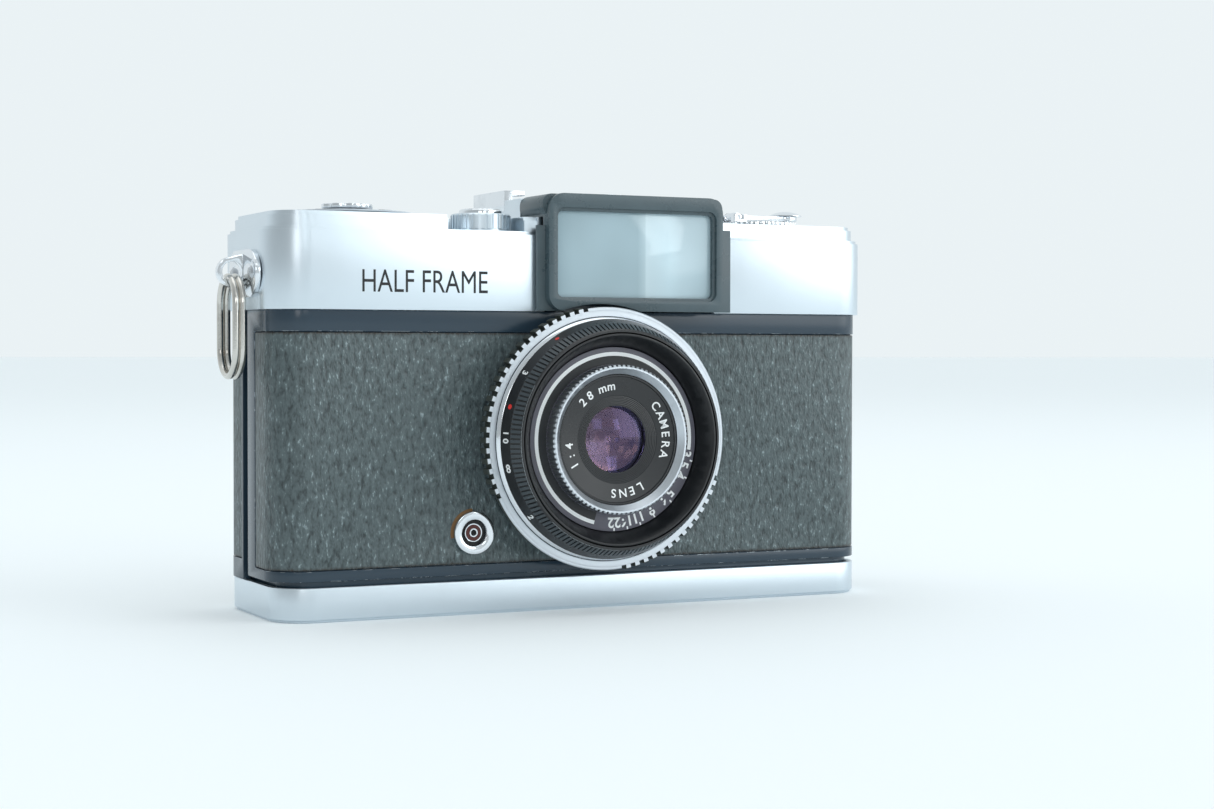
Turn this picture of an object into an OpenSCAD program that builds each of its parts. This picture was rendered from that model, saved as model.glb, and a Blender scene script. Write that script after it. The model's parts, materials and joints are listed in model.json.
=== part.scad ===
// Half frame camera with a removable back, a unit-focusing lens and a fold-out rewind crank.
// Millimetres. +X runs along the top cover towards the rewind crank, the lens looks along -Y, +Z is up.
// The origin is the mouth of the tripod socket.

/* [Body] */
// Width of the top cover
cover_w = 107; // [105:0.5:115]
// Depth of the top cover and the base pan
body_d = 28.4; // [28.2:0.1:30]
// Width of the base pan
pan_w = 104.8; // [103.8:0.1:106]
// Height of the base pan
pan_h = 5.35; // [5:0.05:6]
// Width of the painted body casting
shell_w = 105.4; // [104.6:0.1:107]
// How far the casting stands behind the cover's front face
shell_inset = 0.7; // [0.5:0.1:1]
// Radius of the vertical corners
corner_r = 6.5; // [5.5:0.1:7.5]
// Lower edge of the leatherette
leather_low = 7.8; // [7.4:0.1:8.4]
// Upper edge of the leatherette
leather_high = 44.4; // [43.5:0.1:45]
// Thickness of the leatherette
leather_t = 0.35; // [0.25:0.05:0.4]

/* [Top cover] */
// Lower edge of the top cover
cover_low = 47.75; // [47.4:0.05:48]
// Height of the ledge round the raised deck
ledge_z = 60.4; // [60:0.1:61]
// Height of the raised deck
deck_z = 62.8; // [62.4:0.1:63]
// Sheet thickness of the top cover
sheet_t = 0.8; // [0.6:0.05:0.9]

/* [Finder] */
// Middle of the finder window along the body
finder_x = 7; // [6.5:0.1:7.5]
// Height of the middle of the finder window
finder_z = 56.9; // [56.7:0.1:57.1]
// Width of the finder window
window_w = 28; // [26:0.5:28.5]
// Height of the finder window
window_h = 13.7; // [12:0.1:14]
// Height of the finder shroud
shroud_top = 66.5; // [66:0.1:67]

/* [Accessory shoe] */
// Width of the slot for an accessory foot
shoe_slot_w = 18.7; // [18.6:0.05:18.8]
// Height of the slot under the lips
shoe_slot_h = 2.1; // [2:0.05:2.2]
// Length of the shoe
shoe_l = 13.2; // [12:0.1:13.4]

/* [Lens] */
// Lens axis along the body
lens_x = 0.5; // [0:0.1:1]
// Height of the lens axis
lens_z = 27.5; // [27.3:0.1:27.7]
// Outer radius of the shutter speed ring
speed_r = 21.2; // [20.8:0.1:22]
// Bore radius of the shutter speed ring
speed_bore_r = 19.5; // [19.4:0.05:19.6]
// Outer radius of the knurled focus ring
focus_r = 19.1; // [18.9:0.1:19.3]
// Radius of the focusing helicoid
helicoid_r = 15.3; // [15:0.05:15.6]
// Radius of the lens barrel that carries the aperture grip
barrel_r = 10.3; // [10:0.05:10.5]
// Outer radius of the aperture scale
scale_r = 14.6; // [14.2:0.05:14.7]
// Radius of the front lens element
front_glass_r = 5.6; // [5.3:0.05:5.8]
// Radial running clearance of the lens rings
ring_fit = 0.08; // [0.05:0.01:0.1]
// Number of aperture blades
blade_count = 5; // [5]

/* [Film transport] */
// Cassette axis along the body
cassette_x = 38; // [37.5:0.1:38.2]
// Bore radius of the cassette and take-up chambers
chamber_r = 12.55; // [12.5:0.05:12.6]
// Take-up spool axis along the body
spool_x = -38; // [-38.2:0.1:-37.5]
// Sprocket axis along the body
sprocket_x = -18.5; // [-18.8:0.1:-18.2]
// Distance of the sprocket axis behind the middle plane
sprocket_y = 4; // [3.8:0.1:4]
// Radius of the sprocket drum
sprocket_r = 5.9; // [5.6:0.1:6]
// Distance of the film plane behind the middle plane
film_y = 10; // [9.9:0.05:10.1]
// Radius of the thumb wheel
wheel_r = 11.2; // [11:0.1:11.4]
// Height of the thumb wheel's underside
wheel_z = 50.9; // [50.8:0.05:51.1]
// Thickness of the thumb wheel
wheel_t = 3; // [2.6:0.1:3.1]
// Running clearance of shafts and pins
pin_fit = 0.05; // [0.03:0.01:0.08]

/* [Controls] */
// Radius of the frame counter dial
counter_r = 10.4; // [9.8:0.1:10.6]
// Radius of the release button's collar
release_r = 4.85; // [4.6:0.05:5]
// Radius of the rewind knob
rewind_r = 7.5; // [7:0.1:8]
// Radius of the rewind shaft
rewind_shaft_r = 2.6; // [2.4:0.05:2.7]
// Distance from the crank's hinge to its finger knob
crank_l = 10.6; // [10:0.1:11]
// Radius of the tripod socket's thread
tripod_r = 3.175; // [3.175]
// Depth of the tripod socket's thread
tripod_depth = 5; // [4.6:0.1:5]
// Radius of the lock disc in the base pan
lock_r = 7; // [6.5:0.1:7.4]
// Radius of the rewind release button
rewind_button_r = 2.2; // [2:0.1:2.4]

/* [Strap lug] */
// Height of the lug's hole
lug_z = 53.6; // [53.4:0.1:54]
// Radius of the lug's hole
lug_hole_r = 1.6; // [1.5:0.05:1.7]
// Radius of the split ring's wire
ring_wire_r = 0.55; // [0.45:0.05:0.6]
// Outer length of the split ring
ring_l = 16.4; // [15:0.2:17]
// Outer width of the split ring
ring_w = 9.6; // [9:0.2:10]

/* [Hidden] */
$fn = 64;
eps = 0.01;

front_y = -body_d / 2;
back_y = body_d / 2;
shell_front = front_y + shell_inset;
recess_t = leather_t + 0.05;
paint_strip_y = -3.2;
split_y = 0.6;
cover_gap = 0.3;
// The removable back
back_front_y = 3;
back_edge_y = 3.8;
back_metal_t = 0.7;
back_skin_in = leather_t + 0.25;
back_w = shell_w - 2 * back_skin_in;
back_top = cover_low - 0.15;
back_inner_y = back_y - shell_inset - recess_t - back_metal_t;
// The inner part of the casting that the back slides over
core_w = back_w - 2 * back_metal_t - 2 * cover_gap;
casting_low = 1.6;
casting_high = 50.5;
skirt_low = 6.2;
pan_wall = 1;
pan_floor = 1.2;
chamber_low = 5;
chamber_high = 49.4;
chamber_y = -0.2;
gate_w = 18;
gate_h = 24;
housing_r = 15.5;
housing_back = 2;
film_half_h = 17.5;
rail_h = 2;
// The finder and the deck
hump_x0 = finder_x - 16.2;
hump_x1 = finder_x + 16.2;
hump_front_y = front_y + 8;
hump_top = 66.2;
shoe_floor_z = 64.4;
shoe_plate_t = 0.6;
shoe_wall_t = 1.45;
shoe_x = hump_x0 + shoe_slot_w / 2 + shoe_wall_t;
shoe_y0 = 0;
shoe_lip_t = 0.8;
shoe_top = shoe_floor_z + shoe_plate_t + shoe_slot_h + shoe_lip_t;
deck_inset = 1.2;
deck_left_x = spool_x + 13.6;
pocket_right_x = -11.4;
pocket_depth = 12.4;
release_x = -16.6;
release_y = -7.4;
button_r = 3.5;
cable_r = 1.1;
counter_x = -36.9;
counter_y = -1.2;
wheel_x = -32;
wheel_y = 4.6;
gear_teeth = 24;
gear_z = 54.4;
gear_t = 1.2;
wheel_shaft_r = 1.6;
sprocket_shaft_r = 1.2;
rewind_y = chamber_y;
crank_x = cassette_x - 4.2;
knob_t = 0.8;
crank_z = deck_z + 0.1 + knob_t + 1;
lug_y = -2;
lug_x = -cover_w / 2;
lug_base_t = 0.8;
lug_hole_x = lug_x - 2.5;
ring_offset = ring_wire_r * 0.96;
// The wires lie in the bottom of the hole, clear of its wall
ring_drop = sqrt(pow(lug_hole_r - ring_wire_r - 0.06, 2) - pow(ring_offset, 2)) - 0.05;
ring_top_z = lug_z - ring_drop + ring_wire_r;
sync_x = -20.4;
sync_z = 12.85;
lock_x = spool_x;
lock_y = 0;

// Distances along the lens axis, forward of the body's middle plane
cover_face = body_d / 2;
shell_face = cover_face - shell_inset;
leather_face = shell_face - 0.05;
mount_face = shell_face - recess_t;
speed_t = 2.2;
speed_front = cover_face + 4.9;
speed_back = speed_front - speed_t;
bead_front = cover_face + 5.4;
focus_front = cover_face + 10.05;
knurl_back = cover_face + 7.9;
scale_face = cover_face + 7.05;
grip_face = cover_face + 9.8;
name_face = cover_face + 8.5;
barrel_back = 12.2;
focus_gap = 0.65;
shutter_hole_r = 4.6;
shutter_pin_r = 9.5;
shutter_z = 8.2;
blade_pin_r = 8.4;
blade_low = 15.6;
blade_t = 0.1;
blade_pitch = 0.2;
blade_cut = 0.9;

// A rectangle with round corners, centred
module round_rect(w, d, r) {
    square([w - 2 * r, d], center = true);
    square([w, d - 2 * r], center = true);
    for (sx = [-1, 1], sy = [-1, 1])
        translate([sx * (w / 2 - r), sy * (d / 2 - r)]) circle(r);
}

// A round-cornered prism that stands between two heights
module prism(w, d, r, z0, z1) {
    translate([0, 0, z0]) linear_extrude(z1 - z0) round_rect(w, d, r);
}

// A box given by its limits
module box(x, y, z) {
    translate([x[0], y[0], z[0]]) cube([x[1] - x[0], y[1] - y[0], z[1] - z[0]]);
}

// A tube that stands between two heights
module tube(r_out, r_in, z0, z1) {
    translate([0, 0, z0]) difference() {
        cylinder(r = r_out, h = z1 - z0);
        translate([0, 0, -eps]) cylinder(r = r_in, h = z1 - z0 + 2 * eps);
    }
}

// Children drawn along +Z come to point forward along the lens axis
module on_lens_axis() {
    translate([lens_x, 0, lens_z]) rotate([90, 0, 0]) children();
}

// Corner radius of an outline set in by an amount
function inset_r(amount) = max(0.6, corner_r - amount);

// Chamber outline: a round bore that opens to the back
module chamber(x, z0, z1) {
    translate([x, chamber_y, z0]) cylinder(r = chamber_r, h = z1 - z0);
    box([x - chamber_r, x + chamber_r], [chamber_y, back_y], [z0, z1]);
}

module body_casting() {
    depth = body_d - 2 * shell_inset;
    color("slategray") difference() {
        union() {
            intersection() {
                prism(shell_w, depth, inset_r(shell_inset), skirt_low, cover_low);
                box([-cover_w, cover_w], [front_y, split_y], [0, 60]);
            }
            intersection() {
                union() {
                    prism(core_w, depth - 1, inset_r(1.6), casting_low, cover_low);
                    prism(core_w - 0.6, depth - 2, inset_r(1.8), cover_low - 1, casting_high);
                }
                box([-cover_w, cover_w], [front_y, film_y], [0, 60]);
            }
        }
        // recess for the leatherette, round both front corners
        difference() {
            box([-cover_w, cover_w], [front_y - 1, paint_strip_y], [leather_low, leather_high]);
            prism(shell_w - 2 * recess_t, depth - 2 * recess_t, inset_r(shell_inset + recess_t), 0, 60);
        }
        chamber(cassette_x, chamber_low, chamber_high);
        chamber(spool_x, chamber_low, chamber_high);
        // stub hole of the cassette, lock and bush pockets in the floor
        translate([cassette_x, chamber_y, 0]) cylinder(r = 6, h = chamber_low + 1);
        translate([lock_x, lock_y, 0]) cylinder(r = lock_r + 1.6, h = 3.6);
        translate([0, 0, 0]) cylinder(r = tripod_r + 3.4, h = tripod_depth + 1.2);
        // sprocket well and the film's way across it
        translate([sprocket_x, sprocket_y, 8]) cylinder(r = sprocket_r + 1.6, h = 38.5);
        box([spool_x, sprocket_x + 4], [film_y - 2.2, back_y], [9, 46]);
        // shaft bores
        translate([sprocket_x, sprocket_y, 6]) cylinder(r = sprocket_shaft_r + pin_fit, h = 60);
        translate([sprocket_x, sprocket_y, 0]) cylinder(r = rewind_button_r + pin_fit, h = 8.5);
        translate([spool_x, chamber_y, 0]) cylinder(r = 2 + pin_fit, h = 60);
        translate([cassette_x, rewind_y, 40]) cylinder(r = rewind_shaft_r + pin_fit, h = 20);
        translate([wheel_x, wheel_y, casting_high - 1]) cylinder(r = wheel_shaft_r + pin_fit, h = 5);
        // shutter bore and light tunnel
        on_lens_axis() translate([0, 0, housing_back]) cylinder(r = housing_r + pin_fit, h = 30);
        box([lens_x - 11, lens_x + 11], [-housing_back - 1, film_y - 2], [lens_z - 14, lens_z + 14]);
        box([lens_x - gate_w / 2, lens_x + gate_w / 2], [0, back_y],
            [lens_z - gate_h / 2, lens_z + gate_h / 2]);
        // sync socket hole
        translate([sync_x, front_y - 1, sync_z]) rotate([-90, 0, 0]) cylinder(r = 2.4, h = 7.8);
        // hollow for the finder above the casting's roof
        box([-8, 22], [front_y, back_y], [49.2, 60]);
    }
}

module front_leatherette() {
    depth = body_d - 2 * shell_inset;
    side_gap = 0.15;
    color("dimgray") difference() {
        intersection() {
            prism(shell_w - 0.1, depth - 0.1, inset_r(shell_inset), leather_low + side_gap,
                leather_high - side_gap);
            box([-cover_w, cover_w], [front_y, paint_strip_y - side_gap], [0, 60]);
        }
        prism(shell_w - 2 * recess_t, depth - 2 * recess_t, inset_r(shell_inset + recess_t), 0, 60);
        on_lens_axis() cylinder(r = 17, h = 30);
        translate([sync_x, front_y - 1, sync_z]) rotate([-90, 0, 0]) cylinder(r = 2.5, h = 7);
    }
}

module film_rails() {
    gap = 1.2;
    color("silver") for (s = [-1, 1])
        box([lens_x - gate_w / 2 - 2, lens_x + gate_w / 2 + 12], [film_y, film_y + 0.12],
            [lens_z + s * (gate_h / 2 + gap + rail_h / 2) - rail_h / 2,
            lens_z + s * (gate_h / 2 + gap + rail_h / 2) + rail_h / 2]);
}

// Outer form of the top cover, drawn in by an amount all round
module cover_form(inset) {
    w = cover_w - 2 * inset;
    d = body_d - 2 * inset;
    di = deck_inset + inset;
    prism(w, d, inset_r(inset), cover_low - 1, ledge_z - 0.5 - inset);
    prism(w - 0.8, d - 0.8, inset_r(inset + 0.4), cover_low - 1, ledge_z - inset);
    difference() {
        union() {
            prism(cover_w - 2 * di, body_d - 2 * di, inset_r(di), cover_low, deck_z - 0.6 - inset);
            prism(cover_w - 2 * di - 1, body_d - 2 * di - 1, inset_r(di + 0.5), cover_low,
                deck_z - inset);
        }
        box([deck_left_x - inset, pocket_right_x + inset], [front_y - 1, front_y + pocket_depth + inset],
            [ledge_z - inset, 80]);
    }
    box([hump_x0 + inset, hump_x1 - inset], [hump_front_y - 7, shoe_y0 - inset],
        [cover_low, hump_top - inset]);
    box([hump_x0 + inset, hump_x1 - inset], [hump_front_y - 7, back_y - deck_inset - inset],
        [cover_low, shoe_floor_z - inset]);
}

module top_cover() {
    color("gainsboro") difference() {
        cover_form(0);
        cover_form(sheet_t);
        box([-cover_w, cover_w], [-body_d, body_d], [0, cover_low]);
        // opening that the finder shroud fills
        box([finder_x - 15.4, finder_x + 15.4], [front_y - 1, hump_front_y - 1.4], [cover_low - 1, 80]);
        box([finder_x - 16.4, finder_x + 16.4], [front_y - 1, hump_front_y - 0.2], [deck_z, 80]);
        // eyepiece
        box([finder_x - 6.1, finder_x + 6.1], [5, back_y + 1], [finder_z - 4.6, finder_z + 4.6]);
        // slot for the thumb wheel
        box([wheel_x - 11.9, wheel_x + 11.9], [wheel_y + 3, back_y + 1],
            [wheel_z - 0.35, wheel_z + wheel_t + 0.35]);
        translate([release_x, release_y, 40]) cylinder(r = button_r + 0.15, h = 40);
        translate([counter_x, counter_y, 40]) cylinder(r = 1.5 + pin_fit, h = 40);
        translate([cassette_x, rewind_y, 40]) cylinder(r = rewind_shaft_r + pin_fit, h = 40);
        for (x = [-1, 1], y = [0.25, 0.75])
            translate([shoe_x + x * 6, shoe_y0 + shoe_l * y, 50]) cylinder(r = 0.75, h = 40);
        for (y = [-1, 1])
            translate([lug_x - 1, lug_y + y * 4.6, lug_z - 0.3]) rotate([0, 90, 0])
                cylinder(r = 0.7, h = 4);
    }
}

module finder_shroud() {
    x0 = finder_x - 15.7;
    x1 = finder_x + 15.7;
    low = cover_low + 0.1;
    color("darkslategray") difference() {
        union() {
            // flange against the cover, frame round the window, and the hood over the deck
            box([finder_x - 17, finder_x + 18], [front_y - 0.9, front_y - 0.05], [low, 61.4]);
            translate([finder_x, 0, (low + shroud_top) / 2]) rotate([90, 0, 0])
                linear_extrude(body_d / 2 + 2.5) round_rect(x1 - x0, shroud_top - low, 2.6);
            translate([finder_x, 0, (deck_z + shroud_top) / 2]) rotate([90, 0, 0])
                linear_extrude(body_d / 2 + 1.2)
                    round_rect(32.6, shroud_top - deck_z - 0.1, 1.6);
        }
        // everything behind the hood's rear edge, and the room inside
        box([-50, 50], [hump_front_y - 0.25, 5], [40, 70]);
        box([finder_x - 14.6, finder_x + 14.6], [front_y + 0.6, 5], [45, shroud_top - 1.2]);
        box([x0 - 3, x1 + 3], [front_y + 0.6, 5], [45, deck_z + 0.05]);
        box([x0 - 3, finder_x - 15.3], [front_y - 0.05, 5], [45, deck_z + 0.05]);
        box([finder_x + 15.3, x1 + 3], [front_y - 0.05, 5], [45, deck_z + 0.05]);
        // window with a bevel and a rebate for the glass
        translate([finder_x, 0, finder_z]) rotate([90, 0, 0]) {
            linear_extrude(40) round_rect(window_w, window_h, 0.9);
            linear_extrude(body_d / 2 + 1.3) round_rect(window_w + 1, window_h + 1, 1.2);
            translate([0, 0, body_d / 2 + 2]) linear_extrude(1)
                round_rect(window_w + 1, window_h + 1, 1.4);
        }
        // room for the speed ring in front of the shroud's lower edge
        on_lens_axis() cylinder(r = speed_r + 0.3, h = 30);
    }
}

module finder_window() {
    color("lightblue") translate([finder_x, front_y - 0.25, finder_z]) rotate([90, 0, 0])
        linear_extrude(1) round_rect(window_w + 0.9, window_h + 0.9, 1.15);
}

module finder_tube() {
    front_l = 8.4;
    color("black") translate([finder_x, front_y + 0.8, finder_z]) rotate([-90, 0, 0]) difference() {
        union() {
            linear_extrude(front_l) round_rect(window_w + 0.4, window_h - 0.5, 1);
            linear_extrude(body_d - 3.1) round_rect(13.4, 10.4, 1);
        }
        translate([0, 0, -1]) linear_extrude(front_l) round_rect(window_w - 1.2, window_h - 2, 0.8);
        translate([0, 0, 5]) linear_extrude(body_d) round_rect(11.2, 8.3, 0.8);
    }
}

module finder_rear_lens() {
    color("lightcyan") translate([finder_x, back_y - 3.2, finder_z]) rotate([-90, 0, 0])
        linear_extrude(1.1) round_rect(11.1, 8.2, 0.75);
}

module eyepiece_frame() {
    color("dimgray") translate([finder_x, back_y - 2, finder_z]) rotate([-90, 0, 0]) difference() {
        union() {
            linear_extrude(2.2) round_rect(12, 9, 1);
            translate([0, 0, 2.05]) linear_extrude(0.8) round_rect(14.6, 11.2, 1.6);
        }
        translate([0, 0, -1]) linear_extrude(5) round_rect(10, 7, 0.8);
    }
}

module accessory_shoe() {
    w = shoe_slot_w + 2 * shoe_wall_t;
    lip = 2.2;
    color("silver") translate([shoe_x, shoe_y0 + 0.05, shoe_floor_z]) difference() {
        box([-w / 2, w / 2], [0, shoe_l - 0.1], [0, shoe_top - shoe_floor_z]);
        box([-shoe_slot_w / 2, shoe_slot_w / 2], [-1, shoe_l + 1],
            [shoe_plate_t, shoe_plate_t + shoe_slot_h]);
        box([-shoe_slot_w / 2 + lip, shoe_slot_w / 2 - lip], [-1, shoe_l + 1], [shoe_plate_t, 9]);
        for (x = [-1, 1], y = [0.25, 0.75]) translate([x * 6, shoe_l * y - 0.05, -1]) {
            cylinder(r = 0.75, h = 3);
            translate([0, 0, 1.2]) cylinder(r1 = 0.75, r2 = 1.6, h = 0.45);
        }
    }
}

module shoe_spring() {
    w = shoe_slot_w - 2.6;
    z = shoe_floor_z + shoe_plate_t;
    color("gold") difference() {
        box([shoe_x - w / 2 + 4, shoe_x + w / 2 - 4], [shoe_y0 + 0.6, shoe_y0 + shoe_l - 0.6],
            [z, z + 0.2]);
        box([shoe_x - 2.2, shoe_x + 2.2], [shoe_y0 + 1.8, shoe_y0 + shoe_l + 1], [z - 1, z + 2]);
        for (x = [-1, 1], y = [0.25, 0.75])
            translate([shoe_x + x * 6, shoe_y0 + shoe_l * y, z - 1]) cylinder(r = 1.75, h = 3);
    }
}

module shoe_screws() {
    color("lightgray") for (x = [-1, 1], y = [0.25, 0.75])
        translate([shoe_x + x * 6, shoe_y0 + shoe_l * y, shoe_floor_z]) difference() {
            union() {
                translate([0, 0, -1.8]) cylinder(r = 0.7, h = 2.1);
                translate([0, 0, 0.2]) cylinder(r1 = 0.7, r2 = 1.4, h = 0.38);
            }
            translate([-2, -0.15, 0.38]) cube([4, 0.3, 1]);
        }
}

module release_collar() {
    ribs = 30;
    color("silver") translate([release_x, release_y, ledge_z]) difference() {
        cylinder(r = release_r, h = 2.9);
        translate([0, 0, -1]) cylinder(r = button_r + 0.15, h = 6);
        for (i = [0:ribs - 1]) rotate(i * 360 / ribs)
            translate([release_r + 0.05, 0, 0.4]) cylinder(r = 0.24, h = 4, $fn = 8);
    }
}

module release_button() {
    flange_t = 0.8;
    flange_z = ledge_z - sheet_t - 0.1 - flange_t;
    top_z = ledge_z + 3.7;
    color("gainsboro") translate([release_x, release_y, 0]) difference() {
        union() {
            translate([0, 0, flange_z]) cylinder(r = button_r, h = top_z - 0.3 - flange_z);
            translate([0, 0, top_z - 0.3]) cylinder(r1 = button_r, r2 = button_r - 0.3, h = 0.3);
            translate([0, 0, flange_z]) cylinder(r = button_r + 0.8, h = flange_t);
        }
        // tapered cable release socket
        translate([0, 0, top_z - 3.8]) cylinder(r = cable_r, h = 9);
        translate([0, 0, top_z - 1]) cylinder(r1 = cable_r, r2 = cable_r + 0.5, h = 1.1);
    }
}

module counter_dial() {
    color("whitesmoke") translate([counter_x, counter_y, 0]) difference() {
        union() {
            translate([0, 0, deck_z + 0.2]) cylinder(r = counter_r, h = 0.25);
            translate([0, 0, deck_z + 0.45]) cylinder(r1 = counter_r, r2 = counter_r - 4, h = 0.3);
            translate([0, 0, deck_z - 2.6]) cylinder(r = 1.5, h = 3);
            translate([0, 0, deck_z - 3]) cylinder(r = 4, h = 0.9);
        }
        translate([0, 0, deck_z - 0.4]) cylinder(r = 0.9, h = 3);
    }
}

module counter_knob() {
    color("silver") translate([counter_x, counter_y, deck_z]) difference() {
        union() {
            translate([0, 0, -0.4]) cylinder(r = 0.9, h = 1.5);
            translate([0, 0, 0.75]) cylinder(r = 2.9, h = 0.5);
            translate([0, 0, 1.1]) cylinder(r = 4.13, h = 0.75);
        }
        for (i = [0:7]) rotate(i * 45 + 22.5) translate([5, 0, 0.8]) cylinder(r = 1.35, h = 2);
        translate([0, 0, 1.6]) cylinder(r = 1.1, h = 1);
    }
}

// Outline of a small gear
module gear_outline(teeth, pitch_r) {
    step = 360 / teeth;
    root = pitch_r - 0.5;
    tip = pitch_r + 0.2;
    polygon([for (i = [0:teeth - 1]) for (p = [[-0.3, root], [-0.14, tip], [0.14, tip], [0.3, root]])
        [p[1] * cos((i + p[0]) * step), p[1] * sin((i + p[0]) * step)]]);
}

gear_distance = norm([sprocket_x - wheel_x, sprocket_y - wheel_y]);
gear_angle = atan2(sprocket_y - wheel_y, sprocket_x - wheel_x);

module thumb_wheel() {
    grooves = 60;
    color("dimgray") translate([wheel_x, wheel_y, 0]) difference() {
        union() {
            translate([0, 0, wheel_z]) cylinder(r = wheel_r, h = wheel_t);
            translate([0, 0, casting_high - 0.9]) cylinder(r = wheel_shaft_r, h = 8.4);
        }
        for (i = [0:grooves - 1]) rotate(i * 360 / grooves)
            translate([wheel_r + 0.1, 0, wheel_z + 0.3])
                cylinder(r = 0.32, h = wheel_t - 0.6, $fn = 8);
    }
}

module wheel_gear() {
    color("goldenrod") translate([wheel_x, wheel_y, gear_z]) difference() {
        rotate(gear_angle) linear_extrude(gear_t) gear_outline(gear_teeth, gear_distance / 2);
        translate([0, 0, -1]) cylinder(r = wheel_shaft_r, h = 4);
    }
}

module sprocket_gear() {
    color("goldenrod") translate([sprocket_x, sprocket_y, gear_z]) difference() {
        rotate(gear_angle + 180 + 180 / gear_teeth)
            linear_extrude(gear_t) gear_outline(gear_teeth, gear_distance / 2);
        translate([0, 0, -1]) cylinder(r = sprocket_shaft_r, h = 4);
    }
}

module sprocket() {
    color("silver") translate([sprocket_x, sprocket_y, 0]) difference() {
        union() {
            translate([0, 0, 9.6]) cylinder(r = sprocket_r, h = 36);
            translate([0, 0, 8.7]) cylinder(r = sprocket_shaft_r, h = gear_z + gear_t - 8.7);
            for (z = [lens_z - 14.1, lens_z + 14.1], i = [0:7]) rotate(i * 45)
                translate([sprocket_r - 0.3, -0.6, z - 0.7]) cube([1.2, 1.2, 1.4]);
        }
        translate([0, 0, lens_z - 11.6]) difference() {
            cylinder(r = sprocket_r + 1, h = 23.2);
            translate([0, 0, -1]) cylinder(r = sprocket_r - 0.8, h = 26);
        }
    }
}

module takeup_spool() {
    core_r = 7.4;
    color("black") translate([spool_x, chamber_y, 0]) difference() {
        union() {
            translate([0, 0, chamber_low + 0.5]) cylinder(r = chamber_r - 1.4, h = 1.2);
            translate([0, 0, chamber_high - 1.7]) cylinder(r = chamber_r - 1.4, h = 1.2);
            translate([0, 0, chamber_low + 1]) cylinder(r = core_r, h = 42.4);
            translate([0, 0, chamber_low - 1]) cylinder(r = 2, h = 46.3);
        }
        for (i = [0:3]) rotate(i * 90 + 45)
            box([core_r - 4.6, core_r + 1], [-0.9, 0.9], [lens_z - 16, lens_z + 16]);
    }
}

module rewind_button() {
    color("silver") translate([sprocket_x, sprocket_y, 0]) difference() {
        translate([0, 0, 0.3]) cylinder(r = rewind_button_r, h = 5.6);
        translate([0, 0, -0.4]) sphere(r = 1.2);
    }
}

module rewind_shaft() {
    fork_z = 44.6;
    color("silver") translate([cassette_x, rewind_y, 0]) difference() {
        translate([0, 0, fork_z]) cylinder(r = rewind_shaft_r, h = deck_z + 0.4 - fork_z);
        translate([0, 0, fork_z + 1.4]) cube([1.6, 8, 3], center = true);
    }
}

// Keyed sleeve under the deck that turns with the shaft and lets it slide
module rewind_bush() {
    top = deck_z - sheet_t - 0.1;
    color("goldenrod") translate([cassette_x, rewind_y, 0])
        tube(rewind_shaft_r + 1.3, rewind_shaft_r + pin_fit, top - 3.4, top);
}

module rewind_knob() {
    color("silver") translate([cassette_x, rewind_y, deck_z]) difference() {
        union() {
            translate([0, 0, 0.1]) cylinder(r = rewind_r, h = knob_t);
            for (s = [-1, 1])
                box([crank_x - cassette_x - 1.3, crank_x - cassette_x + 1.3],
                    [s * 2.35 - 0.5, s * 2.35 + 0.5], [knob_t, 2.3]);
        }
        translate([0, 0, -1]) cylinder(r = rewind_shaft_r, h = 1.4);
        translate([crank_x - cassette_x, 0, crank_z - deck_z]) rotate([90, 0, 0])
            cylinder(r = 0.45, h = 20, center = true);
        for (i = [0:47]) rotate(i * 7.5) translate([rewind_r + 0.12, 0, 0])
            cylinder(r = 0.3, h = 3, $fn = 8);
    }
}

module crank_arm() {
    half_w = 1.7;
    color("silver") translate([crank_x, rewind_y, crank_z]) difference() {
        union() {
            rotate([90, 0, 0]) cylinder(r = 0.8, h = 2 * half_w, center = true);
            box([0, crank_l - 1], [-half_w, half_w], [-0.45, 0.35]);
            translate([crank_l, 0, -0.45]) cylinder(r = 2.1, h = 0.8);
            rotate([90, 0, 0]) cylinder(r = 0.45 - pin_fit, h = 2 * 2.85, center = true);
        }
        translate([crank_l, 0, -1]) cylinder(r = 0.8, h = 3);
    }
}

module crank_finger() {
    color("silver") translate([crank_x + crank_l, rewind_y, crank_z]) {
        translate([0, 0, -0.6]) cylinder(r = 0.8, h = 1.2);
        translate([0, 0, 0.4]) intersection() {
            cylinder(r = 2.95, h = 2);
            translate([0, 0, -5]) sphere(r = 5.9);
        }
    }
}

module strap_lug() {
    color("silver") difference() {
        union() {
            translate([lug_x - lug_base_t, lug_y, lug_z - 0.3]) rotate([0, 90, 0])
                linear_extrude(lug_base_t) round_rect(7.4, 14.4, 3.6);
            translate([0, lug_y + 0.6, 0]) rotate([90, 0, 0]) linear_extrude(1.2) hull() {
                translate([lug_hole_x, lug_z]) circle(lug_hole_r + 0.75, $fn = 32);
                translate([lug_x - 0.5, lug_z - 3.6]) square([0.4, 6.4]);
            }
        }
        translate([lug_hole_x, lug_y, lug_z]) rotate([90, 0, 0])
            cylinder(r = lug_hole_r, h = 6, center = true);
        for (y = [-1, 1]) translate([lug_x - 2, lug_y + y * 4.6, lug_z - 0.3]) rotate([0, 90, 0])
            cylinder(r = 0.7, h = 4);
    }
}

module lug_rivets() {
    color("gray") for (y = [-1, 1])
        translate([lug_x + 1.6, lug_y + y * 4.6, lug_z - 0.3]) rotate([0, -90, 0]) {
            cylinder(r = 0.7, h = 1.6 + lug_base_t);
            translate([0, 0, 1.6 + lug_base_t]) cylinder(r1 = 1.2, r2 = 0.8, h = 0.3);
        }
}

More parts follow.
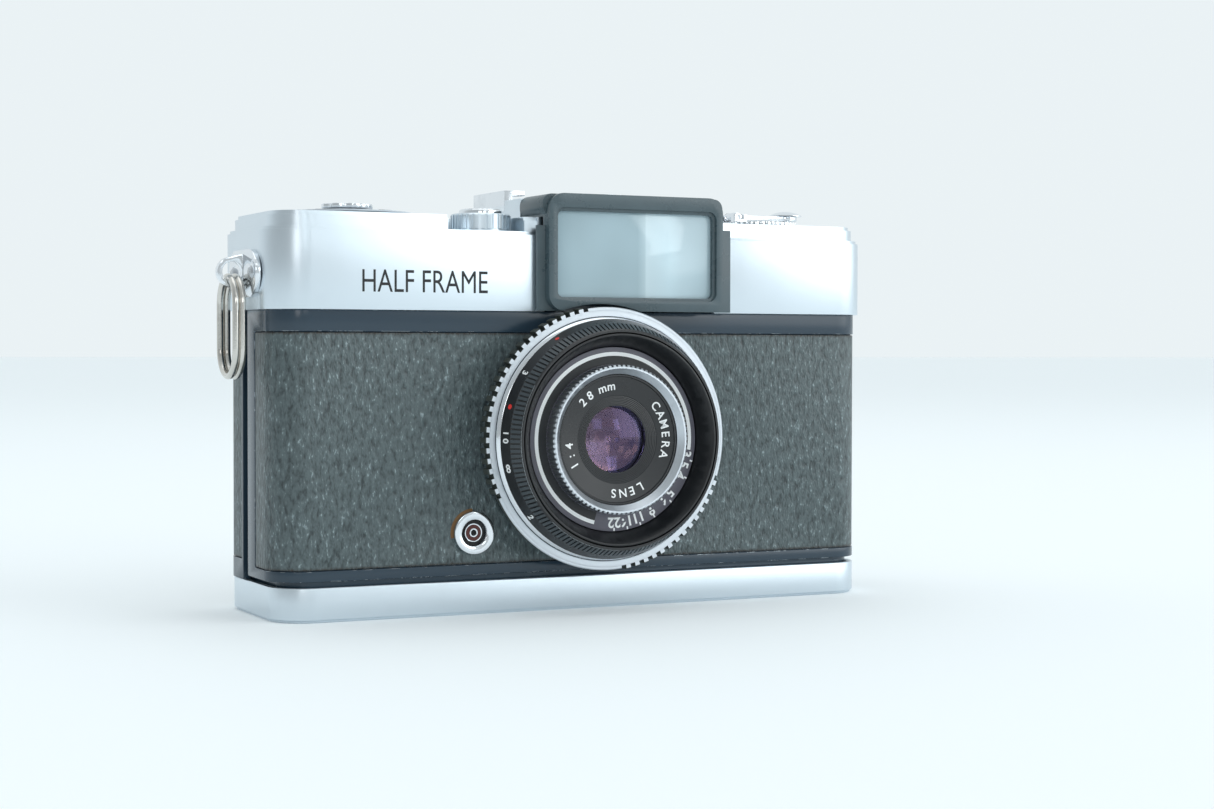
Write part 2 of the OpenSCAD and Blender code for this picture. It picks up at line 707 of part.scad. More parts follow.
// One turn of the oval ring in the plane of the body's side
module ring_turn() {
    bend_r = ring_w / 2 - ring_wire_r;
    side_l = ring_l - ring_w;
    for (s = [-1, 1]) {
        translate([0, s * bend_r, -side_l / 2]) cylinder(r = ring_wire_r, h = side_l);
        translate([0, 0, s * side_l / 2]) rotate([90 * s, 0, 90])
            rotate_extrude(angle = 180) translate([bend_r, 0]) circle(ring_wire_r);
    }
}

module split_ring() {
    color("silver") for (s = [-1, 1])
        translate([lug_hole_x + s * ring_offset, lug_y, ring_top_z - ring_l / 2]) ring_turn();
}

module sync_sleeve() {
    color("silver") translate([sync_x, 0, sync_z]) rotate([90, 0, 0]) difference() {
        union() {
            translate([0, 0, leather_face + 0.02]) cylinder(r = 3.4, h = 0.75);
            translate([0, 0, leather_face - 4.6]) cylinder(r = 2.4, h = 5);
        }
        translate([0, 0, leather_face - 3.4]) cylinder(r = 1.95, h = 5);
        translate([0, 0, leather_face - 6]) cylinder(r = 0.9, h = 5);
    }
}

module sync_insulator() {
    color("saddlebrown") translate([sync_x, 0, sync_z]) rotate([90, 0, 0])
        tube(1.3, 0.7, leather_face - 3.4, leather_face + 0.2);
}

module sync_pin() {
    color("silver") translate([sync_x, 0, sync_z]) rotate([90, 0, 0])
        tube(0.7, 0.4, leather_face - 5.6, leather_face + 0.35);
}

module shutter_housing() {
    front = mount_face - 0.6;
    color("dimgray") on_lens_axis() {
        difference() {
            translate([0, 0, housing_back]) cylinder(r = housing_r, h = front - housing_back);
            cylinder(r = shutter_hole_r, h = 30);
            translate([0, 0, shutter_z]) cylinder(r = housing_r - 1.8, h = 1.2);
            translate([0, 0, barrel_back - 0.9]) cylinder(r = barrel_r + 1.2, h = 10);
        }
        for (s = [-1, 1])
            translate([0, s * shutter_pin_r, shutter_z - 0.5]) cylinder(r = 0.55, h = 2);
    }
}

// Half of the two-leaf shutter, closed; the second leaf is the first turned half round
module shutter_blade(index) {
    leaf_r = shutter_hole_r + 0.6;
    lap = 0.5;
    color("dimgray") on_lens_axis() rotate(index * 180)
        translate([0, 0, shutter_z + 0.3 * index - 0.05]) difference() {
            linear_extrude(0.12) {
                intersection() {
                    circle(leaf_r);
                    translate([-lap, -leaf_r]) square([leaf_r + lap, 2 * leaf_r]);
                }
                translate([-lap, 0]) square([2.6, shutter_pin_r]);
                translate([0, shutter_pin_r]) circle(1.5);
            }
            translate([0, shutter_pin_r, -1]) cylinder(r = 0.55 + pin_fit, h = 3);
        }
}

module index_ring() {
    outer = speed_bore_r - ring_fit;
    shoulder_r = outer + 0.3;
    bore = focus_r - 0.9;
    color("white") on_lens_axis() rotate_extrude() polygon([[housing_r - 1.9, mount_face - 0.6],
        [housing_r, mount_face - 0.6], [housing_r, mount_face], [16.8, mount_face],
        [16.8, leather_face + 0.25], [shoulder_r, leather_face + 0.25],
        [shoulder_r, speed_back - 0.1], [outer, speed_back - 0.1], [outer, speed_front],
        [outer - 0.5, bead_front], [bore, bead_front], [bore, mount_face + 1.2],
        [housing_r - 1.9, mount_face + 1.2]]);
}

module speed_ring() {
    pitch = 4.5;
    gap_w = 0.85;
    // the two toothed stretches of the rim: first tooth and number of teeth
    stretches = [[101, 24], [278, 15]];
    color("silver") on_lens_axis() difference() {
        rotate_extrude() polygon([[speed_bore_r, speed_back], [speed_r - 0.2, speed_back],
            [speed_r, speed_back + 0.2], [speed_r, speed_front - 0.3],
            [speed_r - 0.3, speed_front], [speed_bore_r, speed_front]]);
        for (s = stretches, i = [0:s[1] - 1]) rotate(s[0] + i * pitch)
            translate([speed_r - 0.7, -gap_w / 2, speed_back - 1]) cube([3, gap_w, 20]);
    }
}

module focus_ring() {
    bore = helicoid_r + ring_fit;
    skirt = focus_r - 0.9 - 0.15;
    ribs = 150;
    color("black") on_lens_axis() difference() {
        rotate_extrude() polygon([[bore, mount_face + 2.2], [skirt, mount_face + 2.2],
            [skirt, bead_front + focus_gap], [focus_r, bead_front + focus_gap],
            [focus_r - 0.75, knurl_back - 0.05], [focus_r - 0.7, knurl_back],
            [focus_r - 1.65, focus_front - 0.25], [focus_r - 1.85, focus_front],
            [focus_r - 2.15, focus_front], [focus_r - 2.15, focus_front - 1],
            [bore, cover_face + 7.6]]);
        for (i = [0:ribs - 1]) rotate(i * 360 / ribs)
            translate([focus_r - 1.17, 0, knurl_back + 0.95]) rotate([0, -26.6, 0])
                translate([-0.25, -0.12, -0.9]) cube([1.4, 0.24, 1.8]);
    }
}

module lens_barrel() {
    flange_back = cover_face + 4.9;
    flange_front = cover_face + 5.9;
    room_low = blade_low - 0.3;
    room_h = 2.1;
    color("dimgray") on_lens_axis() {
        difference() {
            union() {
                translate([0, 0, barrel_back]) cylinder(r = barrel_r, h = name_face - 0.9 - barrel_back);
                translate([0, 0, flange_back]) cylinder(r = helicoid_r, h = flange_front - flange_back);
                tube(helicoid_r, helicoid_r - 1.1, mount_face + 2.4, flange_front);
            }
            translate([0, 0, 19]) cylinder(r = front_glass_r, h = 9);
            cylinder(r = 4.7, h = 30);
            translate([0, 0, room_low]) cylinder(r = barrel_r - 0.8, h = room_h);
            translate([0, 0, 10]) cylinder(r = 5, h = 4.2);
        }
        for (i = [1:blade_count]) rotate(i * 360 / blade_count)
            translate([blade_pin_r, 0, room_low - 0.5]) cylinder(r = 0.36, h = room_h + 1);
    }
}

module front_cone() {
    seat = cover_face + 5.9;
    color("black") on_lens_axis() rotate_extrude() polygon([[scale_r - 0.7, seat], [helicoid_r, seat],
        [helicoid_r, cover_face + 7.5], [focus_r - 2.35, focus_front - 0.75],
        [focus_r - 2.35, focus_front], [focus_r - 2.7, focus_front],
        [scale_r + 0.15, scale_face + 0.1], [scale_r + 0.15, scale_face - 0.75],
        [scale_r - 0.7, scale_face - 0.75]]);
}

module aperture_scale() {
    color("slategray") on_lens_axis() rotate_extrude() polygon([
        [barrel_r + ring_fit, scale_face - 1.05], [scale_r - 0.8, scale_face - 1.05],
        [scale_r - 0.8, scale_face - 0.7], [scale_r, scale_face - 0.7], [scale_r, scale_face],
        [barrel_r + 1, scale_face], [barrel_r + ring_fit, scale_face]]);
}

module aperture_grip() {
    teeth = 90;
    outer = barrel_r + 1.5;
    color("silver") on_lens_axis() difference() {
        rotate_extrude() polygon([[barrel_r + ring_fit, scale_face], [outer, scale_face],
            [outer, grip_face - 0.15], [outer - 0.25, grip_face], [outer - 0.5, grip_face],
            [barrel_r + ring_fit, name_face + 0.3]]);
        for (i = [0:teeth - 1]) rotate(i * 360 / teeth)
            translate([outer + 0.08, 0, scale_face + 0.4]) cylinder(r = 0.26, h = 5, $fn = 6);
    }
}

module lens_front_ring() {
    back = name_face - 0.9;
    color("black") on_lens_axis() rotate_extrude() polygon([[front_glass_r - 0.3, back],
        [barrel_r, back], [barrel_r, name_face + 0.2], [barrel_r - 0.3, name_face + 0.2],
        [barrel_r - 0.4, name_face], [6.95, name_face - 0.3], [front_glass_r - 0.3, name_face - 0.8]]);
}

module front_glass() {
    sag_r = 14;
    color("lightblue") on_lens_axis() translate([0, 0, cover_face + 5.7]) intersection() {
        cylinder(r = front_glass_r - 0.02, h = 2.4);
        translate([0, 0, 2.35 - sag_r]) sphere(r = sag_r);
    }
}

module middle_glass() {
    color("lightblue") on_lens_axis() translate([0, 0, 17.6]) difference() {
        cylinder(r = 4.68, h = 1.6);
        translate([0, 0, 1.6 + 10.4]) sphere(r = 11);
    }
}

module rear_glass() {
    color("lightblue") on_lens_axis() translate([0, 0, barrel_back + 0.1]) intersection() {
        cylinder(r = 4.98, h = 1.9);
        translate([0, 0, 10]) sphere(r = 10);
    }
}

// One leaf of the iris, near its smallest stop, that swings about its own pin
module aperture_blade(index) {
    leaf_r = 4.85;
    color("black") on_lens_axis() rotate(index * 360 / blade_count)
        translate([0, 0, blade_low + (index - 1) * blade_pitch]) difference() {
            linear_extrude(blade_t) {
                intersection() {
                    circle(leaf_r);
                    translate([-leaf_r, blade_cut]) square([2 * leaf_r, leaf_r]);
                }
                polygon([[2, blade_cut], [blade_pin_r - 0.2, -0.9], [blade_pin_r + 0.2, 0.8],
                    [4, blade_cut + 2]]);
                translate([blade_pin_r, 0]) circle(1);
            }
            translate([blade_pin_r, 0, -1]) cylinder(r = 0.36 + pin_fit, h = 3);
        }
}

module base_pan() {
    color("gainsboro") difference() {
        union() {
            prism(pan_w - 0.8, body_d - 0.8, inset_r(0.8), 0, 0.5);
            prism(pan_w, body_d, inset_r(0.4), 0.4, pan_h);
        }
        prism(pan_w - 2 * pan_wall, body_d - 2 * pan_wall, inset_r(pan_wall + 0.4), pan_floor, 10);
        translate([0, 0, -1]) cylinder(r = tripod_r + 2, h = 5);
        translate([lock_x, lock_y, -1]) cylinder(r = lock_r + 0.1, h = 5);
        translate([sprocket_x, sprocket_y, -1]) cylinder(r = rewind_button_r + 0.4, h = 5);
    }
}

module tripod_bush() {
    color("silver") difference() {
        union() {
            cylinder(r = tripod_r + 2, h = tripod_depth + 0.6);
            translate([0, 0, pan_floor]) cylinder(r = tripod_r + 2.8, h = 1);
        }
        translate([0, 0, -1]) cylinder(r = tripod_r, h = tripod_depth + 1);
    }
}

module back_cover() {
    depth = body_d - 2 * shell_inset;
    low = pan_floor;
    color("slategray") difference() {
        intersection() {
            union() {
                prism(back_w, depth, inset_r(shell_inset + 0.4), low, back_top);
                prism(shell_w, depth, inset_r(shell_inset), pan_h + 0.1, leather_low + 0.8);
                prism(shell_w, depth, inset_r(shell_inset), leather_high + 1.6, back_top);
                intersection() {
                    prism(shell_w, depth, inset_r(shell_inset), pan_h + 0.1, back_top);
                    box([-cover_w, cover_w], [back_front_y, back_edge_y], [0, 60]);
                }
            }
            box([-cover_w, cover_w], [back_front_y, back_y - shell_inset], [0, 60]);
        }
        // room for the back's own leatherette
        difference() {
            box([-cover_w, cover_w], [back_edge_y, back_y + 1], [leather_low + 0.8, leather_high + 1.6]);
            prism(back_w, depth - 2 * recess_t, inset_r(shell_inset + recess_t), 0, 60);
        }
        prism(back_w - 2 * back_metal_t, depth - 2 * recess_t - 2 * back_metal_t, inset_r(1.8), 0, 60);
        // the pan's wall stands round the lower edge
        difference() {
            box([-cover_w, cover_w], [0, back_y + 1], [0, pan_h + 0.02]);
            prism(pan_w - 2 * pan_wall, body_d - 2 * pan_wall, inset_r(pan_wall + 0.4), 0, 10);
        }
    }
}

module back_leatherette() {
    depth = body_d - 2 * shell_inset;
    low = leather_low + 0.8 + 0.1;
    high = leather_high + 1.6 - 0.1;
    color("dimgray") intersection() {
        difference() {
            prism(shell_w - 0.1, depth - 0.05, inset_r(shell_inset), low, high);
            prism(back_w, depth - 2 * recess_t, inset_r(shell_inset + recess_t), 0, 60);
        }
        box([-cover_w, cover_w], [back_edge_y + 0.1, back_y], [0, 60]);
    }
}

module pressure_plate() {
    color("gray") box([lens_x - 13, lens_x + 22], [film_y + 0.35, film_y + 1.15],
        [lens_z - film_half_h, lens_z + film_half_h]);
}

module plate_springs() {
    color("goldenrod") for (s = [-1, 1])
        box([lens_x + 4.5 + s * 9 - 3, lens_x + 4.5 + s * 9 + 3], [back_inner_y - 0.25, back_inner_y],
            [lens_z - 12, lens_z + 12]);
}

module lock_disc() {
    color("silver") translate([lock_x, lock_y, 0]) difference() {
        union() {
            translate([0, 0, 0.05]) cylinder(r = lock_r, h = pan_floor);
            translate([0, 0, pan_floor + 0.03]) cylinder(r = lock_r + 1, h = 0.9);
        }
        // trough for the folded handle
        box([-4.6, 4.6], [-4.2, 4.2], [-1, 1.1]);
    }
}

module lock_handle() {
    color("silver") translate([lock_x, lock_y, 0.6]) difference() {
        union() {
            box([-4.2, 4.2], [-3.2, 3.9], [-0.4, 0.4]);
            translate([0, -3.5, 0]) rotate([0, 90, 0]) cylinder(r = 0.45, h = 9.1, center = true);
        }
        box([-2.6, 2.6], [-1.8, 2.5], [-1, 1]);
    }
}

body_casting();
front_leatherette();
film_rails();
top_cover();
finder_shroud();
finder_window();
finder_tube();
finder_rear_lens();
eyepiece_frame();
accessory_shoe();
shoe_spring();
shoe_screws();
release_collar();
release_button();
counter_dial();
counter_knob();
thumb_wheel();
wheel_gear();
sprocket();
sprocket_gear();
takeup_spool();
rewind_button();
rewind_bush();
rewind_shaft();
rewind_knob();
crank_arm();
crank_finger();
strap_lug();
lug_rivets();
split_ring();
sync_sleeve();
sync_insulator();
sync_pin();
shutter_housing();
shutter_blade(1);  // shutter_blade_1
shutter_blade(2);  // shutter_blade_2
index_ring();
speed_ring();
focus_ring();
lens_barrel();
front_cone();
aperture_scale();
aperture_grip();
lens_front_ring();
front_glass();
middle_glass();
rear_glass();
aperture_blade(1);  // aperture_blade_1
aperture_blade(2);  // aperture_blade_2
aperture_blade(3);  // aperture_blade_3
aperture_blade(4);  // aperture_blade_4
aperture_blade(5);  // aperture_blade_5
base_pan();
back_cover();
back_leatherette();
pressure_plate();
plate_springs();
tripod_bush();
lock_disc();
lock_handle();
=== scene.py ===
# %% [markdown]
# # A half frame camera
# The CAD model gives every size and every joint. Here it gets its finishes: satin chrome, glossy
# enamel, embossed leather cloth, black anodised aluminium, coated glass and filled-in figures.
# Shapes that are right in the CAD keep their form and gain softened edges. Shapes that repeat,
# such as teeth and ribs, are laid out by one small Geometry Nodes tree.

# %% Load the frame
import json
import math
import bmesh
import bpy
from mathutils import Matrix, Vector


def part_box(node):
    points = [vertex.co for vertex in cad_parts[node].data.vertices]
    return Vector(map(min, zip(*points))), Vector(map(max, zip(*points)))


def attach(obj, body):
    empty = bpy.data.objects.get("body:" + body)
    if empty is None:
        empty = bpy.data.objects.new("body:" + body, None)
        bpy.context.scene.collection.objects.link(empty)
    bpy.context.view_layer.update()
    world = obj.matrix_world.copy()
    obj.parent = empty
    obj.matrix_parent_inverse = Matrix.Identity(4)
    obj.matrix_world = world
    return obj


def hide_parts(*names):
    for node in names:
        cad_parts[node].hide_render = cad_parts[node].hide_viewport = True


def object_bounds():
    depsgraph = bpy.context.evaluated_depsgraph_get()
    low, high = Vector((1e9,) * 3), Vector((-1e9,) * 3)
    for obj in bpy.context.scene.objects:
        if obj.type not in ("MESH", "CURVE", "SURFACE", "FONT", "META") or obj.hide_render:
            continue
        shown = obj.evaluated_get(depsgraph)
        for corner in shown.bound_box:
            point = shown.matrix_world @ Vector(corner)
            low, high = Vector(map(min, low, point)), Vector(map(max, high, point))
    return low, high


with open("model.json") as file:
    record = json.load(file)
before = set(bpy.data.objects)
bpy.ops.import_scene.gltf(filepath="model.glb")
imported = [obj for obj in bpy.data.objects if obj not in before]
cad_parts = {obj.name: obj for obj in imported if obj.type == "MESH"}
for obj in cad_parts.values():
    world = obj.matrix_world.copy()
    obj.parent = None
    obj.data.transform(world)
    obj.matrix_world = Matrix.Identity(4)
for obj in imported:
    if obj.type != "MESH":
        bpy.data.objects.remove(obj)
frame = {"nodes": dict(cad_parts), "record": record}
CAD_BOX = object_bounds()
MM = 0.001
BODY_OF = {n: b for b, nodes in frame["record"]["behaviour"]["bodies"].items() for n in nodes}
print("CAD box in mm:", [[round(v / MM, 2) for v in corner] for corner in CAD_BOX])

# %% [markdown]
# ## Where the lens axis is
# Every ring of the lens turns round one axis that runs straight forward. Its place comes from
# the box of the speed ring, and a depth along it is measured forward from the film side.

# %% The lens axis
low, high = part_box("speed_ring")
AXIS = Vector(((low.x + high.x) / 2, 0, (low.z + high.z) / 2))
TO_LENS = Matrix.Translation(AXIS) @ Matrix.Rotation(math.radians(90), 4, "X")


def face_of(node):
    """How far forward the front of a CAD node reaches, in mm."""
    return -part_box(node)[0].y / MM


def back_of(node):
    """How far forward the back of a CAD node lies, in mm."""
    return -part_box(node)[1].y / MM


print("lens axis at x, z =", round(AXIS.x / MM, 2), round(AXIS.z / MM, 2))

# %% [markdown]
# ## Colours and shader nodes
# Colours are written as the screen shows them, in hex, and one function turns them to the linear
# values that a renderer works with. One more function adds any shader node, with its settings
# and its links, so that each material below reads as a short list.

# %% Two helpers for materials
def linear(code):
    """A screen colour such as "c0c8d0" as linear red, green, blue and alpha."""
    parts = [int(code[i:i + 2], 16) / 255 for i in (0, 2, 4)]
    return [p / 12.92 if p <= 0.04045 else ((p + 0.055) / 1.055) ** 2.4 for p in parts] + [1]


def add(tree, kind, inputs=None, **settings):
    """One node: settings by name, inputs as plain values or as (node, output) to link."""
    made = tree.nodes.new(kind)
    for name, value in settings.items():
        setattr(made, name, value)
    for name, value in (inputs or {}).items():
        if isinstance(value, tuple) and isinstance(value[0], bpy.types.Node):
            tree.links.new(value[0].outputs[value[1]], made.inputs[name])
        else:
            made.inputs[name].default_value = value
    return made


def new_material(name, colour, metallic, roughness, **more):
    """A material with its Principled shader set to plain starting values."""
    made = bpy.data.materials.new(name)
    made.use_nodes = True
    shader = made.node_tree.nodes["Principled BSDF"]
    values = {"Base Color": linear(colour), "Metallic": metallic, "Roughness": roughness, **more}
    for socket, value in values.items():
        shader.inputs[socket.replace("_", " ")].default_value = value
    return made, made.node_tree, shader


def ramp(tree, source, stops):
    """A colour ramp read from a value: stops are (place, colour code)."""
    made = add(tree, "ShaderNodeValToRGB", {"Fac": source})
    for place, code in stops[1:-1]:
        made.color_ramp.elements.new(place)
    for element, (place, code) in zip(made.color_ramp.elements, stops):
        element.position, element.color = place, linear(code)
    return made


# %% [markdown]
# ## Plated, painted and turned metal
# The covers are brass sheet, blasted to a fine matt grain and plated with chrome, so they mirror
# the room softly. Small fittings are polished before plating and mirror it sharply. Grain on the
# real plate is a few hundredths of a millimetre; it is drawn at 0.12 mm so that it can be seen.

# %% Plated metals
def grained_metal(name, colour, roughness, grain_mm, bump, wear="707880", cloud_mm=9):
    """A bare or plated metal with a fine grain, a slow change of gloss and faint handling marks."""
    made, tree, shader = new_material(name, colour, 1, roughness)
    place = add(tree, "ShaderNodeTexCoord")
    grain = add(tree, "ShaderNodeTexNoise", {"Vector": (place, "Object"),
                "Scale": 1 / (grain_mm * MM), "Detail": 2.0})
    cloud = add(tree, "ShaderNodeTexNoise", {"Vector": (place, "Object"),
                "Scale": 1 / (cloud_mm * MM), "Detail": 5.0, "Roughness": 0.6})
    gloss = add(tree, "ShaderNodeMapRange", {"Value": (cloud, "Fac"), "From Min": 0.3,
                "From Max": 0.7, "To Min": roughness * 0.95, "To Max": roughness * 1.08})
    tree.links.new(gloss.outputs["Result"], shader.inputs["Roughness"])
    marks = ramp(tree, (cloud, "Fac"), [(0.0, wear), (0.42, colour), (1.0, colour)])
    tree.links.new(marks.outputs["Color"], shader.inputs["Base Color"])
    height = add(tree, "ShaderNodeBump", {"Height": (grain, "Fac"), "Strength": bump,
                 "Distance": 0.02 * MM})
    tree.links.new(height.outputs["Normal"], shader.inputs["Normal"])
    return made


SATIN_CHROME = grained_metal("satin_chrome_on_blasted_brass", "d5dfe6", 0.30, 0.12, 0.30, "d0d9e0")
BRIGHT_CHROME = grained_metal("bright_nickel_chrome_plate", "e4e8ec", 0.10, 0.3, 0.06, "a8b0b8")
SATIN_SILVER = grained_metal("satin_anodised_aluminium", "ccd2d8", 0.30, 0.10, 0.30, "9aa2aa", 5)
SPRING_STEEL = grained_metal("spring_steel_strip", "aeb3b8", 0.28, 0.20, 0.20)
TURNED_STEEL = grained_metal("turned_steel_pin", "b8bcc0", 0.25, 0.15, 0.15)
BRASS = grained_metal("machined_brass", "c9a961", 0.24, 0.15, 0.15, "8f7440")
WIRE_STEEL = grained_metal("nickel_plated_spring_wire", "d2cfc9", 0.16, 0.25, 0.15, "8c8378", 4)
print("plated and bare metals:", len(bpy.data.materials))

# %% [markdown]
# ## Enamel on the casting
# The body is a die-cast aluminium shell sprayed with a blue-grey enamel and stoved. The enamel is
# glossy with a slight orange peel about a millimetre wide, and it is chipped to bare metal in
# places along its edges. An edge value stored on the mesh tells the shader where edges are.

# %% Enamel
def enamel(name, colour, chip_colour, roughness):
    """Glossy stoved enamel, with small chips where the mesh's edge value is high."""
    made, tree, shader = new_material(name, colour, 0, roughness)
    place = add(tree, "ShaderNodeTexCoord")
    peel = add(tree, "ShaderNodeTexNoise", {"Vector": (place, "Object"), "Scale": 1 / (1.1 * MM),
               "Detail": 2.0})
    flakes = add(tree, "ShaderNodeTexNoise", {"Vector": (place, "Object"), "Scale": 1 / (1.6 * MM),
                 "Detail": 6.0, "Roughness": 0.7})
    edge = add(tree, "ShaderNodeAttribute", attribute_name="edge")
    chance = add(tree, "ShaderNodeMath", {0: (flakes, "Fac"), 1: (edge, "Fac")},
                 operation="MULTIPLY")
    chip = add(tree, "ShaderNodeMapRange", {"Value": (chance, "Value"), "From Min": 0.53,
               "From Max": 0.57})
    colours = add(tree, "ShaderNodeMix", {"Factor": (chip, "Result"), 6: linear(colour),
                  7: linear(chip_colour)}, data_type="RGBA")
    tree.links.new(colours.outputs[2], shader.inputs["Base Color"])
    tree.links.new(chip.outputs["Result"], shader.inputs["Metallic"])
    height = add(tree, "ShaderNodeBump", {"Height": (peel, "Fac"), "Strength": 0.10,
                 "Distance": 0.03 * MM})
    tree.links.new(height.outputs["Normal"], shader.inputs["Normal"])
    return made


BODY_ENAMEL = enamel("stoved_enamel_on_die_cast_aluminium", "2a3b48", "8f979c", 0.20)

# %% [markdown]
# ## Leather cloth
# The covering is a woven cloth with a vinyl face, embossed with a leather grain whose wrinkles
# run up and down. A stretched noise gives the wrinkles, three quarters of a millimetre across and
# about twice as long, and a finer one the pores. The relief's colour is painted shade and painted
# highlight: darker in the valleys, lighter on the tops. Painted glints, small pale flecks of
# highlight, sit where both noises are high. The cut edge is darker, where glue and dirt have
# gathered.

# %% Leather cloth
def leather_cloth(name, colour, painted_crease_shade, low_mm, high_mm, edge_code):
    """Embossed vinyl cloth. low_mm and high_mm are the panel's bottom and top, for its dark rim."""
    made, tree, shader = new_material(name, colour, 0, 0.40)
    place = add(tree, "ShaderNodeTexCoord")
    tall = add(tree, "ShaderNodeMapping", {"Vector": (place, "Object"), "Scale": (1, 1, 0.45),
               "Rotation": (0, math.radians(4), 0)})
    wrinkle = add(tree, "ShaderNodeTexNoise", {"Vector": (tall, "Vector"),
                  "Scale": 1 / (0.75 * MM), "Detail": 2.5, "Roughness": 0.6, "Distortion": 0.25})
    pore = add(tree, "ShaderNodeTexNoise", {"Vector": (tall, "Vector"), "Scale": 1 / (0.26 * MM),
               "Detail": 1.0})
    relief = add(tree, "ShaderNodeMath", {0: (pore, "Fac"), 1: 0.3, 2: (wrinkle, "Fac")},
                 operation="MULTIPLY_ADD")
    # Painted shade and painted highlight: the colour is darker in the valleys of the relief and
    # lighter on its tops.
    tone = ramp(tree, (relief, "Value"), [(0.44, painted_crease_shade), (0.62, colour), (0.86, "5d6b6d")])
    # Painted glints: small pale flecks of highlight where the pores and the wrinkles are both high.
    glint_chance = add(tree, "ShaderNodeMath", {0: (pore, "Fac"), 1: (wrinkle, "Fac")},
                operation="MULTIPLY")
    painted_glint = add(tree, "ShaderNodeMapRange", {"Value": (glint_chance, "Value"), "From Min": 0.35,
                "From Max": 0.46, "To Max": 0.45})
    lit = add(tree, "ShaderNodeMix", {"Factor": (painted_glint, "Result"), 6: (tone, "Color"),
              7: linear("b3c3c8")}, data_type="RGBA")
    apart = add(tree, "ShaderNodeSeparateXYZ", {"Vector": (place, "Object")})
    middle, half = (low_mm + high_mm) / 2 * MM, (high_mm - low_mm) / 2 * MM
    off = add(tree, "ShaderNodeMath", {0: (apart, "Z"), 1: middle}, operation="SUBTRACT")
    off = add(tree, "ShaderNodeMath", {0: (off, "Value")}, operation="ABSOLUTE")
    ragged = add(tree, "ShaderNodeMath", {0: (pore, "Fac"), 1: 0.9 * MM, 2: (off, "Value")},
                 operation="MULTIPLY_ADD")
    rim = add(tree, "ShaderNodeMapRange", {"Value": (ragged, "Value"), "From Min": half,
              "From Max": half + 0.5 * MM})
    final = add(tree, "ShaderNodeMix", {"Factor": (rim, "Result"), 6: (lit, 2),
                7: linear(edge_code)}, data_type="RGBA")
    tree.links.new(final.outputs[2], shader.inputs["Base Color"])
    height = add(tree, "ShaderNodeBump", {"Height": (relief, "Value"), "Strength": 1.0,
                 "Distance": 0.30 * MM})
    tree.links.new(height.outputs["Normal"], shader.inputs["Normal"])
    return made


low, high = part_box("front_leatherette")
FRONT_LEATHER = leather_cloth("embossed_vinyl_leather_cloth_front", "4c585a", "2e383a",
                              low.z / MM, high.z / MM, "2a231d")
low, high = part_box("back_leatherette")
BACK_LEATHER = leather_cloth("embossed_vinyl_leather_cloth_back", "4c585a", "2e383a",
                             low.z / MM, high.z / MM, "2a231d")

# %% [markdown]
# ## Plastics and black finishes
# The finder frame is a dark grey-green moulded plastic with a dull sheen. The eyepiece, wheel and
# spool are black plastics. Lens rings are black anodised aluminium, which is a metal with a dark
# film, so it is drawn as a dark smooth surface with a fine grain.

# %% Plastics, anodised and lacquered surfaces
def fine_surface(name, colour, roughness, grain_mm, bump, metallic=0.0, shift=0.12, **more):
    """A moulded, lacquered or anodised surface: fine grain, slight tone change, dust in its gloss."""
    made, tree, shader = new_material(name, colour, metallic, roughness, **more)
    place = add(tree, "ShaderNodeTexCoord")
    grain = add(tree, "ShaderNodeTexNoise", {"Vector": (place, "Object"),
                "Scale": 1 / (grain_mm * MM), "Detail": 3.0})
    cloud = add(tree, "ShaderNodeTexNoise", {"Vector": (place, "Object"), "Scale": 1 / (7 * MM),
                "Detail": 6.0, "Roughness": 0.65})
    gloss = add(tree, "ShaderNodeMapRange", {"Value": (cloud, "Fac"), "From Min": 0.3,
                "From Max": 0.7, "To Min": roughness * 0.8, "To Max": min(roughness * 1.3, 1)})
    tree.links.new(gloss.outputs["Result"], shader.inputs["Roughness"])
    tint = add(tree, "ShaderNodeHueSaturation", {"Color": linear(colour)})
    level = add(tree, "ShaderNodeMapRange", {"Value": (cloud, "Fac"), "From Min": 0.3,
                "From Max": 0.7, "To Min": 1 - shift, "To Max": 1 + shift})
    tree.links.new(level.outputs["Result"], tint.inputs["Value"])
    tree.links.new(tint.outputs["Color"], shader.inputs["Base Color"])
    height = add(tree, "ShaderNodeBump", {"Height": (grain, "Fac"), "Strength": bump,
                 "Distance": 0.03 * MM})
    tree.links.new(height.outputs["Normal"], shader.inputs["Normal"])
    return made


FINDER_PLASTIC = fine_surface("moulded_abs_dark_grey_green", "46565c", 0.28, 0.5, 0.10)
BLACK_PLASTIC = fine_surface("moulded_phenolic_black", "17191b", 0.35, 0.4, 0.12)
WHEEL_PLASTIC = fine_surface("moulded_nylon_dark_grey", "2a2c2e", 0.42, 0.4, 0.15)
BLACK_ANODISED = fine_surface("black_anodised_aluminium", "15171a", 0.28, 0.15, 0.10,
                              Specular_IOR_Level=0.6)
DISH_BLACK = fine_surface("black_anodised_dish", "121417", 0.33, 0.12, 0.08)
BLACK_LACQUER_AND_HOLLOW_SHADE = fine_surface("matt_black_lacquer_and_painted_hollow_shade", "101214", 0.55, 0.12, 0.25)
SCALE_LACQUER = fine_surface("purple_grey_lacquer", "5b5a64", 0.38, 0.12, 0.10)
DIAL_PAINT = fine_surface("counter_dial_enamel", "c9d0d6", 0.35, 0.12, 0.10)
INSULATOR = fine_surface("laminated_phenolic_red_brown", "54211a", 0.5, 0.3, 0.20)
WHITE_FILL = fine_surface("white_engraving_enamel", "eef0f0", 0.5, 0.2, 0.20, shift=0.04)
RED_FILL = fine_surface("red_engraving_enamel", "e0322c", 0.5, 0.2, 0.20, shift=0.04)
YELLOW_FILL = fine_surface("pale_yellow_engraving_enamel", "d3d5a4", 0.5, 0.2, 0.20, shift=0.04)
BLACK_FILL = fine_surface("black_engraving_enamel", "1a1c1e", 0.5, 0.2, 0.20)
print("materials so far:", len(bpy.data.materials))

# %% [markdown]
# ## Glass
# Optical glass is clear, with an index near 1.52. Its surfaces carry a thin coating that sends
# back a little violet light, so the tint is on the reflection. The finder pane is a flat crown
# glass with a pale grey-blue look, because the finder's bright frame mirror lies behind it.

